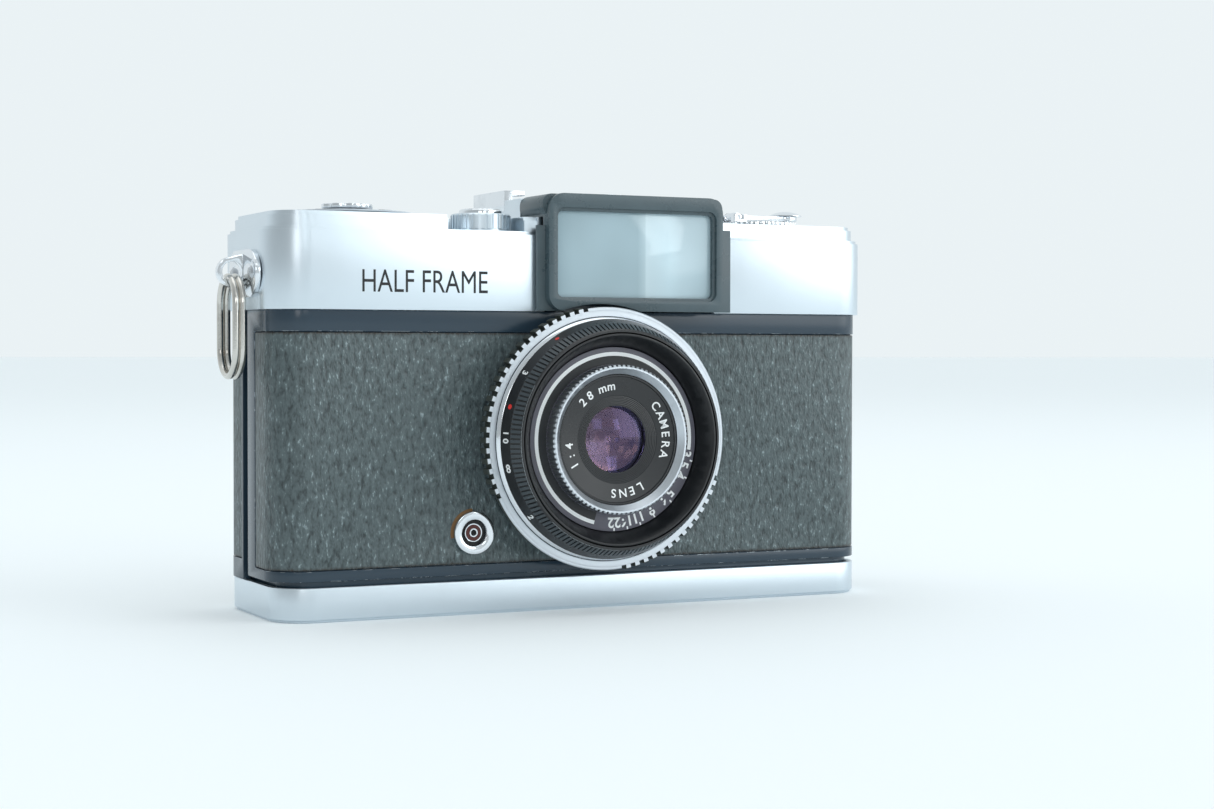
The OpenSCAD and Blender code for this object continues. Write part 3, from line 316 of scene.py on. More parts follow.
# %% Glass
def coated_glass(name, tint, coat_tint, coat_level):
    """Clear glass. Its coating dims the reflection to coat_level (0.5 is bare) and tints it."""
    made, tree, shader = new_material(name, tint, 0, 0.0, IOR=1.52, Transmission_Weight=1.0,
                                      Specular_IOR_Level=coat_level)
    shader.inputs["Specular Tint"].default_value = linear(coat_tint)
    place = add(tree, "ShaderNodeTexCoord")
    smear = add(tree, "ShaderNodeTexNoise", {"Vector": (place, "Object"), "Scale": 1 / (4 * MM),
                "Detail": 1.0})
    haze = add(tree, "ShaderNodeMapRange", {"Value": (smear, "Fac"), "From Min": 0.45,
               "From Max": 0.8, "To Max": 0.03})
    tree.links.new(haze.outputs["Result"], shader.inputs["Roughness"])
    return made


LENS_GLASS = coated_glass("optical_glass_violet_coating", "f4f2ff", "bdb2ff", 0.11)
INNER_GLASS = coated_glass("optical_glass_amber_coating", "fff4f2", "ffc9b8", 0.12)
EYE_GLASS = coated_glass("crown_glass_eye_lens", "f0f6f8", "ffffff", 0.5)

# %% [markdown]
# ## Softened copies of CAD parts
# No made edge is perfectly sharp, and a sharp edge catches no light. For most parts the CAD
# shape is right, so a copy of its mesh is merged, flat faces are joined again and every edge
# gets a small bevel. The copy stands for the CAD part and moves with the same body.

# %% Softening
def place_piece(piece, node, material, body=None):
    """Give a finished piece its material and the body it moves with."""
    piece.data.materials.clear()
    piece.data.materials.append(material)
    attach(piece, body or BODY_OF[node])
    return piece


def mark_edges(mesh, width):
    """Store 1 on the narrow faces that the bevel made, for chips and wear along edges."""
    work = bmesh.new()
    work.from_mesh(mesh)
    narrow = [float(2 * f.calc_area() / max(f.calc_perimeter(), 1e-9) < width) for f in work.faces]
    work.free()
    mesh.attributes.new("edge", "FLOAT", "FACE").data.foreach_set("value", narrow)


def baked(piece):
    """The piece with its modifiers made real and removed."""
    bpy.context.view_layer.update()
    evaluated = piece.evaluated_get(bpy.context.evaluated_depsgraph_get())
    mesh = bpy.data.meshes.new_from_object(evaluated)
    piece.modifiers.clear()
    piece.data = mesh
    return piece


def soften(node, material, bevel_mm=0.2, steps=2, name=None):
    """A copy of a CAD part with softened edges that stands for it."""
    work = bmesh.new()
    work.from_mesh(frame["nodes"][node].data)
    bmesh.ops.remove_doubles(work, verts=work.verts, dist=1e-6)
    bmesh.ops.dissolve_limit(work, angle_limit=math.radians(0.6), verts=work.verts,
                             edges=work.edges)
    mesh = bpy.data.meshes.new(node + "_soft")
    work.to_mesh(mesh)
    work.free()
    piece = bpy.data.objects.new(name or node + "_soft", mesh)
    bpy.context.collection.objects.link(piece)
    if bevel_mm:
        bevel = piece.modifiers.new("edges", "BEVEL")
        bevel.width, bevel.segments = bevel_mm * MM, steps
        bevel.limit_method, bevel.angle_limit = "ANGLE", math.radians(28)
        bevel.use_clamp_overlap = True
        baked(piece)
    piece.data.shade_smooth()
    piece.data.set_sharp_from_angle(angle=math.radians(34))
    mark_edges(piece.data, 0.6 * bevel_mm * MM)
    place_piece(piece, node, material)
    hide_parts(node)
    return piece


# %% [markdown]
# ## Body, covers and leather
# The top cover and the base pan are deep-drawn sheet, so their edges have a soft radius. The
# casting's painted bands show between them and the leather cloth.

# %% Large parts
for node, material, bevel in (
        ("body_casting", BODY_ENAMEL, 0.18), ("top_cover", SATIN_CHROME, 0.30),
        ("base_pan", SATIN_CHROME, 0.35), ("front_leatherette", FRONT_LEATHER, 0.15),
        ("back_leatherette", BACK_LEATHER, 0.15), ("back_cover", BODY_ENAMEL, 0.25),
        ("finder_shroud", FINDER_PLASTIC, 0.45), ("eyepiece_frame", BLACK_PLASTIC, 0.35),
        ("accessory_shoe", BRIGHT_CHROME, 0.15), ("strap_lug", BRIGHT_CHROME, 0.15)):
    print(node, len(soften(node, material, bevel, 3).data.polygons), "faces")

# %% Small fittings
for node, material, bevel in (
        ("shoe_spring", SPRING_STEEL, 0.05), ("release_button", BRIGHT_CHROME, 0.25),
        ("counter_dial", DIAL_PAINT, 0.08), ("counter_knob", BRIGHT_CHROME, 0.2),
        ("thumb_wheel", WHEEL_PLASTIC, 0.12), ("rewind_knob", BRIGHT_CHROME, 0.12),
        ("crank_arm", BRIGHT_CHROME, 0.15), ("crank_finger", BRIGHT_CHROME, 0),
        ("split_ring", WIRE_STEEL, 0),
        ("lock_disc", SATIN_CHROME, 0.2), ("lock_handle", BRIGHT_CHROME, 0.12),
        ("tripod_bush", BRIGHT_CHROME, 0.1), ("rewind_button", BRIGHT_CHROME, 0.15),
        ("lug_rivets", TURNED_STEEL, 0), ("shoe_screws", BRIGHT_CHROME, 0.06),
        ("lens_barrel", BLACK_LACQUER_AND_HOLLOW_SHADE, 0.1),
        ("shutter_housing", BLACK_LACQUER_AND_HOLLOW_SHADE, 0.15), ("index_ring", BRIGHT_CHROME, 0.12),
        ("front_cone", DISH_BLACK, 0.08), ("aperture_scale", SCALE_LACQUER, 0.06),
        ("front_glass", LENS_GLASS, 0), ("middle_glass", INNER_GLASS, 0),
        ("rear_glass", LENS_GLASS, 0), ("finder_rear_lens", EYE_GLASS, 0),
        ("takeup_spool", BLACK_PLASTIC, 0.1), ("sprocket", BRIGHT_CHROME, 0.06),
        ("wheel_gear", BRASS, 0.06), ("sprocket_gear", BRASS, 0.06),
        ("rewind_shaft", TURNED_STEEL, 0.1), ("rewind_bush", BRASS, 0.1)):
    soften(node, material, bevel)

# %% [markdown]
# ## Turned rings
# The rings of the lens are turned on a lathe, so each is one outline swept round the axis. The
# outline is a list of (radius, depth forward) pairs in mm, built once here and used for every
# ring. A sweep of less than a full turn gets end caps, which makes the plain arcs of the speed
# ring and a single tooth or rib.

# %% The lathe
def sweep(outline, start=0.0, end=360.0, steps=180):
    """A closed outline swept about +Z from start to end, in degrees, as a bmesh in metres."""
    work = bmesh.new()
    full = abs(end - start) >= 360
    rows = []
    for i in range(steps if full else steps + 1):
        turn = math.radians(start + (end - start) * i / steps)
        rows.append([work.verts.new((r * MM * math.cos(turn), r * MM * math.sin(turn), z * MM))
                     for r, z in outline])
    count = len(outline)
    for i in range(len(rows) if full else len(rows) - 1):
        near, far = rows[i], rows[(i + 1) % len(rows)]
        for k in range(count):
            work.faces.new((near[k], far[k], far[(k + 1) % count], near[(k + 1) % count]))
    if not full:
        work.faces.new(rows[0])
        work.faces.new(list(reversed(rows[-1])))
    bmesh.ops.recalc_face_normals(work, faces=work.faces)
    return work


def solid(name, work, smooth=30.0):
    """Turn a bmesh into a linked object with smooth rounds and crisp corners."""
    mesh = bpy.data.meshes.new(name)
    work.to_mesh(mesh)
    work.free()
    mesh.shade_smooth()
    mesh.set_sharp_from_angle(angle=math.radians(smooth))
    made = bpy.data.objects.new(name, mesh)
    bpy.context.collection.objects.link(made)
    return made


def moved(piece, matrix):
    """Put a piece in its place by moving its mesh, so that its object stays at the origin."""
    piece.data.transform(matrix)
    return piece


def turned(name, outline, node, finish, span=(0.0, 360.0), steps=180, matrix=TO_LENS,
           stands_in=False, smooth=30.0):
    """A swept piece in its place on an axis, with its finish. It may stand for its CAD part."""
    piece = moved(solid(name, sweep(outline, *span, steps), smooth), matrix)
    place_piece(piece, node, finish)
    if stands_in:
        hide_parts(node)
    return piece


# %% [markdown]
# ## One tree for everything that goes round a ring
# Teeth, ribs, serrations and rivets all repeat at equal angles. The tree puts Count copies of a
# Piece round +Z, a Pitch apart from First angle, makes them real, and turns and moves the result
# to its Centre. Its inputs are set by their identifiers before anything is evaluated.

# %% The ring tree
def ring_tree():
    tree = bpy.data.node_groups.new("pieces_in_a_ring", "GeometryNodeTree")
    tree.is_modifier = True
    tree.interface.new_socket("Geometry", in_out="OUTPUT", socket_type="NodeSocketGeometry")
    for name, kind in (("Count", "Int"), ("First angle", "Float"), ("Pitch", "Float"),
                       ("Piece", "Object"), ("Finish", "Material"), ("Turn", "Vector"),
                       ("Centre", "Vector")):
        tree.interface.new_socket(name, in_out="INPUT", socket_type="NodeSocket" + kind)
    given = tree.nodes.new("NodeGroupInput")
    number = add(tree, "GeometryNodeInputIndex")
    angle = add(tree, "ShaderNodeMath", {0: (number, "Index"), 1: (given, "Pitch"),
                2: (given, "First angle")}, operation="MULTIPLY_ADD")
    spin = add(tree, "ShaderNodeCombineXYZ", {"Z": (angle, "Value")})
    spin = add(tree, "FunctionNodeEulerToRotation", {"Euler": (spin, "Vector")})
    points = add(tree, "GeometryNodeMeshLine", {"Count": (given, "Count"), "Offset": (0, 0, 0)})
    model = add(tree, "GeometryNodeObjectInfo", {"Object": (given, "Piece")})
    copies = add(tree, "GeometryNodeInstanceOnPoints", {"Points": (points, "Mesh"),
                 "Instance": (model, "Geometry"), "Rotation": (spin, "Rotation")})
    real = add(tree, "GeometryNodeRealizeInstances", {"Geometry": (copies, "Instances")})
    tilt = add(tree, "FunctionNodeEulerToRotation", {"Euler": (given, "Turn")})
    put = add(tree, "GeometryNodeTransform", {"Geometry": (real, "Geometry"),
              "Translation": (given, "Centre"), "Rotation": (tilt, "Rotation")})
    finish = add(tree, "GeometryNodeSetMaterial", {"Geometry": (put, "Geometry"),
                 "Material": (given, "Finish")})
    end = tree.nodes.new("NodeGroupOutput")
    tree.links.new(finish.outputs["Geometry"], end.inputs["Geometry"])
    return tree


RING_TREE = ring_tree()


def ring_of(name, pattern, count, first, pitch, finish, node, matrix=TO_LENS, body=None):
    """Copies of a pattern piece round an axis, as one plain mesh that rides with a CAD part."""
    host = bpy.data.objects.new(name, bpy.data.meshes.new(name))
    bpy.context.collection.objects.link(host)
    maker = host.modifiers.new("ring", "NODES")
    maker.node_group = RING_TREE
    sockets = {i.name: i.identifier for i in RING_TREE.interface.items_tree
               if i.in_out == "INPUT"}
    given = {"Count": count, "First angle": math.radians(first), "Pitch": math.radians(pitch),
             "Piece": pattern, "Finish": finish, "Turn": tuple(matrix.to_euler()),
             "Centre": tuple(matrix.translation)}
    for label, value in given.items():
        maker[sockets[label]] = value
    baked(host)
    bpy.data.objects.remove(pattern)
    place_piece(host, node, finish, body)
    print(name, len(host.data.polygons), "faces")
    return host


# %% [markdown]
# ## The shutter speed ring
# A satin aluminium ring. Its rim is cut into square teeth on two stretches, one at the upper left
# and one at the lower right. The ring is a swept body, the plain arcs are part sweeps, and the
# teeth are one tooth repeated by the ring tree. Faces that don't look forward get a dark finish,
# which is painted shade on the sides that face away from the light.

# %% Speed ring
RIM, FLOOR, PLAIN = 21.2, 20.5, 20.95
ROOT_R = FLOOR - 0.1
BACK, FRONT = back_of("speed_ring"), face_of("speed_ring")
TOOTH_PITCH = 4.5
HALF_GAP = 1.15
TOOTHED = ((101.0, 24), (278.0, 15))
FORWARD_LIMIT = -0.6
# Painted shade: a dark finish for the rim's sides, which face away from the light.
SIDE_SHADE_FINISH = fine_surface("painted_shade_on_the_rim_sides", "3d433f", 0.6, 0.3, 0.5)


def darken_sides(piece):
    """Give every face that doesn't look forward the dark finish of painted shade."""
    piece.data.materials.append(SIDE_SHADE_FINISH)
    for face in piece.data.polygons:
        face.material_index = 1 if face.normal.y > FORWARD_LIMIT else 0


darken_sides(turned("speed_ring_body", [
    (19.5, BACK), (FLOOR, BACK), (FLOOR, FRONT - 0.05), (FLOOR - 0.05, FRONT), (19.6, FRONT),
    (19.5, FRONT - 0.08)], "speed_ring", SATIN_SILVER, stands_in=True))
arc_outline = [(ROOT_R, BACK), (PLAIN - 0.4, BACK), (PLAIN, FRONT - 0.4),
               (PLAIN, FRONT - 0.15), (PLAIN - 0.15, FRONT), (ROOT_R, FRONT)]
plain = [(TOOTHED[0][0] + TOOTHED[0][1] * TOOTH_PITCH, TOOTHED[1][0]),
         (TOOTHED[1][0] + TOOTHED[1][1] * TOOTH_PITCH, TOOTHED[0][0] + 360)]
for number, (start, end) in enumerate(plain, 1):
    darken_sides(turned(f"speed_ring_arc_{number}", arc_outline, "speed_ring", SATIN_SILVER,
                        (start + HALF_GAP - TOOTH_PITCH, end - HALF_GAP), 60))
tooth_outline = [(ROOT_R, BACK), (RIM - 0.1, BACK), (RIM, BACK + 0.1), (RIM, FRONT - 0.2),
                 (RIM - 0.15, FRONT), (ROOT_R, FRONT)]
for number, (start, count) in enumerate(TOOTHED, 1):
    tooth = solid("tooth", sweep(tooth_outline, 0.0, TOOTH_PITCH - 2 * HALF_GAP, 2))
    darken_sides(ring_of(f"speed_ring_teeth_{number}", tooth, count - 1, start + HALF_GAP,
                         TOOTH_PITCH, SATIN_SILVER, "speed_ring"))

# %% [markdown]
# ## The focus ring
# Black anodised, with a band of figures at the back and a knurl of straight ribs on a cone in
# front. On the real ring the ribs are rolled, so they are flat-topped bars with dark slots
# between them. The ring's body is swept and one bar is repeated 150 times. The bars are a lighter
# grey than the body, a painted sheen for the light on the ribs.

# %% Focus ring
RING_FRONT = face_of("focus_ring")
BAND_BACK, BAND_FRONT = (19.08, 20.32), (18.36, 22.03)
BARS = 150
body = [(15.4, 15.3), (18.05, 15.3), (18.05, 20.25), (19.0, 20.25), BAND_BACK, BAND_FRONT,
        (18.12, 22.12), (17.22, 23.8), (17.45, 24.0), (17.25, RING_FRONT),
        (16.95, RING_FRONT), (16.95, 23.3), (15.4, 21.8)]
turned("focus_ring_body", body, "focus_ring", BLACK_ANODISED, stands_in=True)
bar = solid("bar", sweep([(18.05, 22.1), (18.3, 22.08), (18.38, 22.16), (17.5, 23.86),
                          (17.42, 23.95), (17.1, 23.8)], -0.75, 0.75, 1))
# Painted sheen: the ribs are lighter than the ring's body, for the light they catch.
RIB_SHEEN = fine_surface("painted_sheen_on_black_anodised_ribs", "3a4247", 0.30, 0.3, 0.15)
ring_of("focus_ring_ribs", bar, BARS, 0.0, 360 / BARS, RIB_SHEEN, "focus_ring")
# Bright metal lines on three stretches of the front rim: wear to bare aluminium, and a painted
# highlight along the rim's edge.
RIM_WEAR_AND_HIGHLIGHT = grained_metal("bare_aluminium_worn_and_painted_rim_highlight", "aeb4b8", 0.35, 0.3, 0.2)
for number, (start, end) in enumerate(((150, 212), (226, 268), (300, 332)), 1):
    turned(f"focus_ring_worn_rim_{number}", [(17.42, 24.03), (17.35, 24.13), (17.32, 24.10),
           (17.39, 24.0)], "focus_ring", RIM_WEAR_AND_HIGHLIGHT, (start, end), 40)

# %% [markdown]
# ## The aperture grip
# A thin silver ring with ninety fine serrations round its outside, and a polished slope inside
# that runs down to the black front ring.

# %% Aperture grip
GRIP_BACK, GRIP_FRONT = 21.25, face_of("aperture_grip")
SERRATIONS = 90
turned("aperture_grip_body", [
    (10.4, GRIP_BACK), (11.62, GRIP_BACK), (11.62, GRIP_FRONT - 0.15), (11.5, GRIP_FRONT),
    (11.25, GRIP_FRONT), (10.38, 23.0)], "aperture_grip", SATIN_SILVER, stands_in=True)
ridge = solid("ridge", sweep([(11.5, GRIP_BACK), (11.8, GRIP_BACK), (11.8, GRIP_FRONT - 0.2),
                              (11.55, GRIP_FRONT), (11.4, GRIP_FRONT - 0.05)], -1.1, 1.1, 1))
ring_of("aperture_grip_serrations", ridge, SERRATIONS, 0.0, 360 / SERRATIONS, SATIN_SILVER,
        "aperture_grip")

# %% [markdown]
# ## The black front ring
# It holds the front glass. Its face slopes inward, and fine grooves round the glass stop light
# from bouncing. The grooves are in the outline that is swept, each lower than the one outside it.

# %% Front ring
FACE, EDGE = 22.7, face_of("lens_front_ring")
outline = [(5.3, 21.8), (10.3, 21.8), (10.3, EDGE - 0.05), (10.25, EDGE), (10.0, EDGE),
           (9.9, FACE)]
for groove in range(7):
    r = 7.0 - groove * 0.24
    z = FACE - 0.3 - groove * 0.075
    outline += [(r, z), (r - 0.06, z - 0.09), (r - 0.12, z - 0.09)]
outline += [(5.3, 21.86)]
turned("lens_front_ring_turned", outline, "lens_front_ring", BLACK_ANODISED, stands_in=True,
       smooth=25)

# %% [markdown]
# ## Filled figures
# The scales are engraved and filled with enamel, so each figure is a flat letter shape that lies
# a few hundredths of a millimetre proud of its ring. A letter is made a plain mesh first, then turned
# so that its top points where the real one's does, and moved to its place on the ring.

# %% Figures
def glyph(text, tall_mm, bold=0.0):
    """One printed text as a flat mesh, centred, with capitals of the given height in mm."""
    data = bpy.data.curves.new("glyph", "FONT")
    data.body, data.size = text, tall_mm * MM / 0.70
    data.align_x, data.align_y = "CENTER", "CENTER"
    data.offset, data.extrude = bold * MM, 0.01 * MM
    holder = bpy.data.objects.new("glyph", data)
    bpy.context.collection.objects.link(holder)
    mesh = bpy.data.meshes.new_from_object(
        holder.evaluated_get(bpy.context.evaluated_depsgraph_get()))
    bpy.data.objects.remove(holder)
    return mesh


def frame_at(radius_mm, angle_deg, depth_mm, top, normal, base=TO_LENS):
    """The matrix of a figure on a ring: top and normal are (outward, forward) directions."""
    turn = math.radians(angle_deg)
    outward, forward = Vector((math.cos(turn), math.sin(turn), 0)), Vector((0, 0, 1))
    up = (outward * top[0] + forward * top[1]).normalized()
    face = (outward * normal[0] + forward * normal[1]).normalized()
    side = up.cross(face)
    matrix = Matrix((side, up, face)).transposed().to_4x4()
    matrix.translation = outward * radius_mm * MM + forward * depth_mm * MM
    return base @ matrix


def print_on(name, marks, finish, node):
    """Join (mesh, matrix) marks into one filled piece that rides with a CAD part."""
    work = bmesh.new()
    for mesh, matrix in marks:
        mesh.transform(matrix)
        work.from_mesh(mesh)
    return place_piece(solid(name, work), node, finish)


def patch(points):
    """A thin flat plate with the given outline in mm, for ticks, dots and triangles."""
    work = bmesh.new()
    face = work.faces.new([work.verts.new((x * MM, y * MM, 0.01 * MM)) for x, y in points])
    bmesh.ops.recalc_face_normals(work, faces=[face])
    if face.normal.z < 0:
        face.normal_flip()
    mesh = bpy.data.meshes.new("patch")
    work.to_mesh(mesh)
    work.free()
    return mesh


def disc(radius_mm, squash=1.0):
    return patch([(radius_mm * math.cos(a * math.pi / 10),
                   radius_mm * squash * math.sin(a * math.pi / 10)) for a in range(20)])


# %% Aperture figures, their ticks and the white arc
SCALE_Z = 21.25
ARC_SPAN, ARC_STEPS = (-8, 255), 150
turned("aperture_black_arc", [
    (11.85, SCALE_Z - 0.005), (13.25, SCALE_Z - 0.005), (13.25, SCALE_Z + 0.006),
    (11.85, SCALE_Z + 0.006)], "aperture_scale", DISH_BLACK, ARC_SPAN, ARC_STEPS)
STOPS = ((-90, "22"), (-80.5, "16"), (-71, "11"), (-60, "8"), (-45, "5.6"), (-26.5, "4"),
         (-15, "3.5"))
marks = []
for angle, text in STOPS:
    for place, letter in enumerate(text):
        shift = (place - (len(text) - 1) / 2) * (5.0 if "." not in text else 3.9)
        marks.append((glyph(letter, 1.60, 0.055), frame_at(13.15, angle - shift, SCALE_Z + 0.03,
                                                          (1, 0), (0, 1))))
    marks.append((patch([(-0.13, -0.24), (0.13, -0.24), (0.13, 0.24), (-0.13, 0.24)]),
                  frame_at(14.3, angle, SCALE_Z + 0.01, (1, 0), (0, 1))))
print_on("aperture_figures", marks, WHITE_FILL, "aperture_scale")
turned("aperture_arc", [
    (13.22, SCALE_Z - 0.01), (13.82, SCALE_Z - 0.01), (13.82, SCALE_Z + 0.02),
    (13.22, SCALE_Z + 0.02)], "aperture_scale", WHITE_FILL, ARC_SPAN, ARC_STEPS)

# %% Distance figures on the focus ring and its red marks
ALONG = (Vector(BAND_FRONT) - Vector(BAND_BACK)).normalized()
BAND = dict(top=(ALONG.x, ALONG.y), normal=(ALONG.y, -ALONG.x))
MIDDLE = (Vector(BAND_FRONT) + Vector(BAND_BACK)) / 2 + Vector(BAND["normal"]) * 0.01


def on_band(angle):
    return frame_at(MIDDLE.x, angle, MIDDLE.y, **BAND)


endless = glyph("8", 1.30, 0.04)
endless.transform(Matrix.Rotation(math.radians(90), 4, "Z"))
marks = [(glyph(text, 1.05, 0.05), on_band(angle))
         for angle, text in ((176.2, "1"), (179.9, "0"), (145.6, "3"), (219.5, "2"))]
print_on("focus_figures", marks + [(endless, on_band(193.4))], WHITE_FILL, "focus_ring")
print_on("focus_red_marks", [(disc(0.42, 0.9), on_band(163.5)), (disc(0.36, 0.8), on_band(122))],
         RED_FILL, "focus_ring")
print_on("index_mark", [(patch([(-0.16, -0.3), (0.16, -0.3), (0.16, 0.3), (-0.16, 0.3)]),
         frame_at(18.56, 163, face_of("index_ring") + 0.02, (1, 0), (0, 1)))],
         RED_FILL, "index_ring")

# %% The triangle on the dish
DISH_INNER, DISH_OUTER = Vector((14.75, 21.35)), Vector((16.75, 24.25))
SLOPE = (DISH_OUTER - DISH_INNER).normalized()
middle = (DISH_INNER + DISH_OUTER) / 2
print_on("aperture_pointer", [(patch([(-0.72, 1.15), (0.0, -1.25), (0.72, 1.15)]),
         frame_at(middle.x - 0.02, 276, middle.y + 0.02, (SLOPE.x, SLOPE.y),
                  (-SLOPE.y, SLOPE.x)))], YELLOW_FILL, "front_cone")

# %% Plain words on the front ring
marks = []
LETTER_R, FALL = 8.45, 0.3 / (9.9 - 7.0)
LETTER_STEP, WORD_GAP = 11.0, 5
depth = FACE - FALL * (9.9 - LETTER_R) + 0.02
for start, text in ((208, "1:4"), (136, "28 mm"), (38, "CAMERA"), (-62, "LENS")):
    for place, letter in enumerate(text.replace(" ", "")):
        gap = WORD_GAP if place > 1 and " " in text else 0
        marks.append((glyph(letter, 1.35, 0.025), frame_at(
            LETTER_R, start - place * LETTER_STEP - gap, depth, (1, FALL), (-FALL, 1))))
print_on("front_ring_figures", marks, WHITE_FILL, "lens_front_ring")

# %% [markdown]
# ## Words on the top cover
# Two plain words stand where a maker would engrave a name. They are cut into the plated sheet and
# filled with black enamel, in narrow capitals, so the letters are squeezed before placing.

# %% Words on the top cover
label = glyph("HALF FRAME", 3.5)
wide = [v.co.x for v in label.vertices]
label.transform(Matrix.Diagonal((20.8 * MM / (max(wide) - min(wide)), 1, 1, 1)))
on_cover = (Matrix.Translation((-28.7 * MM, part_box("top_cover")[0].y - 0.005 * MM, 52.0 * MM))
            @ Matrix.Rotation(math.radians(90), 4, "X"))
print_on("cover_words", [(label, on_cover)], BLACK_FILL, "top_cover")

# %% [markdown]
# ## The counter dial
# Black figures from 0 to 36 run round the dial every four frames, with a dot between them.

# %% Counter dial figures
low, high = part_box("counter_dial")
TO_DIAL = Matrix.Translation(((low.x + high.x) / 2, (low.y + high.y) / 2, 0))
FIGURE_R = (high.x - low.x) / 2 / MM - 1.3
FIGURE_Z = high.z / MM - 0.17
FIGURE_STEP = 32
ON_DIAL = dict(top=(1, -0.07), normal=(0.07, 1), base=TO_DIAL)
marks, dots = [], []
for step in range(10):
    turn = 90 - step * FIGURE_STEP
    for place, letter in enumerate(str(step * 4)):
        shift = (place - (len(str(step * 4)) - 1) / 2) * 7.5
        marks.append((glyph(letter, 1.25, 0.03),
                      frame_at(FIGURE_R, turn - shift, FIGURE_Z, **ON_DIAL)))
    dots.append((disc(0.16), frame_at(FIGURE_R, turn - FIGURE_STEP / 2, FIGURE_Z, **ON_DIAL)))
print_on("counter_figures", marks + dots, BLACK_FILL, "counter_dial")

# %% [markdown]
# ## The flash socket
# A plated sleeve with a wide flange, a brown laminated core in a thin inner ring, and a hollow
# pin. All are turned parts, so they are swept like the rings, about the socket's own axis. A
# trace of old glue shows beside the flange on the leather cloth.

# %% Flash socket
low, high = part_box("sync_sleeve")
TO_SOCKET = (Matrix.Translation(((low.x + high.x) / 2, 0, (low.z + high.z) / 2))
             @ Matrix.Rotation(math.radians(90), 4, "X"))
FLANGE, ROOT = face_of("sync_sleeve"), back_of("sync_sleeve")
CORE, TIP = face_of("sync_insulator"), face_of("sync_pin")
AGED_GLUE = fine_surface("aged_contact_glue", "6b4a1f", 0.45, 0.4, 0.4)
for name, node, finish, outline, stands_in in (
        ("socket_sleeve", "sync_sleeve", BRIGHT_CHROME, [
            (1.97, ROOT), (2.4, ROOT), (2.4, FLANGE - 0.74), (3.35, FLANGE - 0.74),
            (3.4, FLANGE - 0.68), (3.4, FLANGE - 0.2), (3.32, FLANGE - 0.05), (3.15, FLANGE),
            (2.35, FLANGE - 0.02), (2.12, FLANGE - 0.12), (1.97, FLANGE - 0.45)], True),
        # Painted shade: a black disc closes the hollow between the inner ring and the sleeve, which
        # is dark from shade.
        ("socket_recess", "sync_sleeve", BLACK_LACQUER_AND_HOLLOW_SHADE, [
            (1.30, FLANGE - 1.3), (1.98, FLANGE - 1.3), (1.98, FLANGE - 1.0),
            (1.30, FLANGE - 1.0)], False),
        ("socket_inner_ring", "sync_insulator", BRIGHT_CHROME, [
            (1.28, CORE - 1.0), (1.46, CORE - 1.0), (1.46, CORE - 0.03), (1.42, CORE),
            (1.32, CORE), (1.28, CORE - 0.03)], False),
        ("socket_core", "sync_insulator", INSULATOR, [
            (0.70, CORE - 3.5), (1.29, CORE - 3.5), (1.29, CORE - 0.05), (0.70, CORE - 0.05)],
            True),
        ("socket_pin", "sync_pin", BRIGHT_CHROME, [
            (0.46, TIP - 2), (0.70, TIP - 2), (0.70, TIP - 0.06), (0.64, TIP), (0.52, TIP),
            (0.46, TIP - 0.06)], True),
        # Painted shade: a black disc closes the pin's bore, which is dark from shade.
        ("socket_pin_bore", "sync_pin", BLACK_LACQUER_AND_HOLLOW_SHADE, [
            (0.05, TIP - 1), (0.47, TIP - 1), (0.47, TIP - 0.8), (0.05, TIP - 0.8)], False)):
    turned(name, outline, node, finish, steps=72, matrix=TO_SOCKET, stands_in=stands_in)
COVERING = face_of("front_leatherette")
turned("glue_trace", [(3.3, COVERING - 0.02), (3.86, COVERING - 0.02), (3.72, COVERING + 0.07),
       (3.4, COVERING + 0.1)], "front_leatherette", AGED_GLUE, (92, 192), 40, TO_SOCKET)

# %% [markdown]
# ## The ribbed collar of the release
# A low turned collar with thirty flat ribs round its side, so that a finger finds it.

# %% Release collar
low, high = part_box("release_collar")
TO_COLLAR = Matrix.Translation(((low.x + high.x) / 2, (low.y + high.y) / 2, low.z))
COLLAR_RIBS = 30
turned("release_collar_body", [(3.7, 0), (4.62, 0), (4.62, 2.7), (4.45, 2.9), (3.85, 2.9),
       (3.7, 2.75)], "release_collar", SATIN_CHROME, steps=96, matrix=TO_COLLAR, stands_in=True)
rib = solid("rib", sweep([(4.5, 0.35), (4.85, 0.45), (4.85, 2.6), (4.6, 2.85), (4.5, 2.8)],
                         -3.4, 3.4, 2))
ring_of("release_collar_ribs", rib, COLLAR_RIBS, 0.0, 360 / COLLAR_RIBS, SATIN_CHROME,
        "release_collar", TO_COLLAR)

# %% [markdown]
# ## The finder window
# The front pane is flat glass over the bright-frame mirror. The mirror fills the left three
# fifths and looks like pale slate; the rest opens on the finder lens and is lighter. Both are
# seen as tone behind gloss, so the pane carries the tone and the gloss lies on top. This tone is
# painted reflection of the bright room in the mirror, with a painted highlight in the lighter band.

# %% Window pane
low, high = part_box("finder_window")
pane_glass, tree, shader = new_material("mirror_backed_crown_glass", "a8bec7", 0, 0.05, IOR=1.5)
place = add(tree, "ShaderNodeTexCoord")
apart = add(tree, "ShaderNodeSeparateXYZ", {"Vector": (place, "Object")})
across = add(tree, "ShaderNodeMapRange", {"Value": (apart, "X"), "From Min": low.x,
             "From Max": high.x})
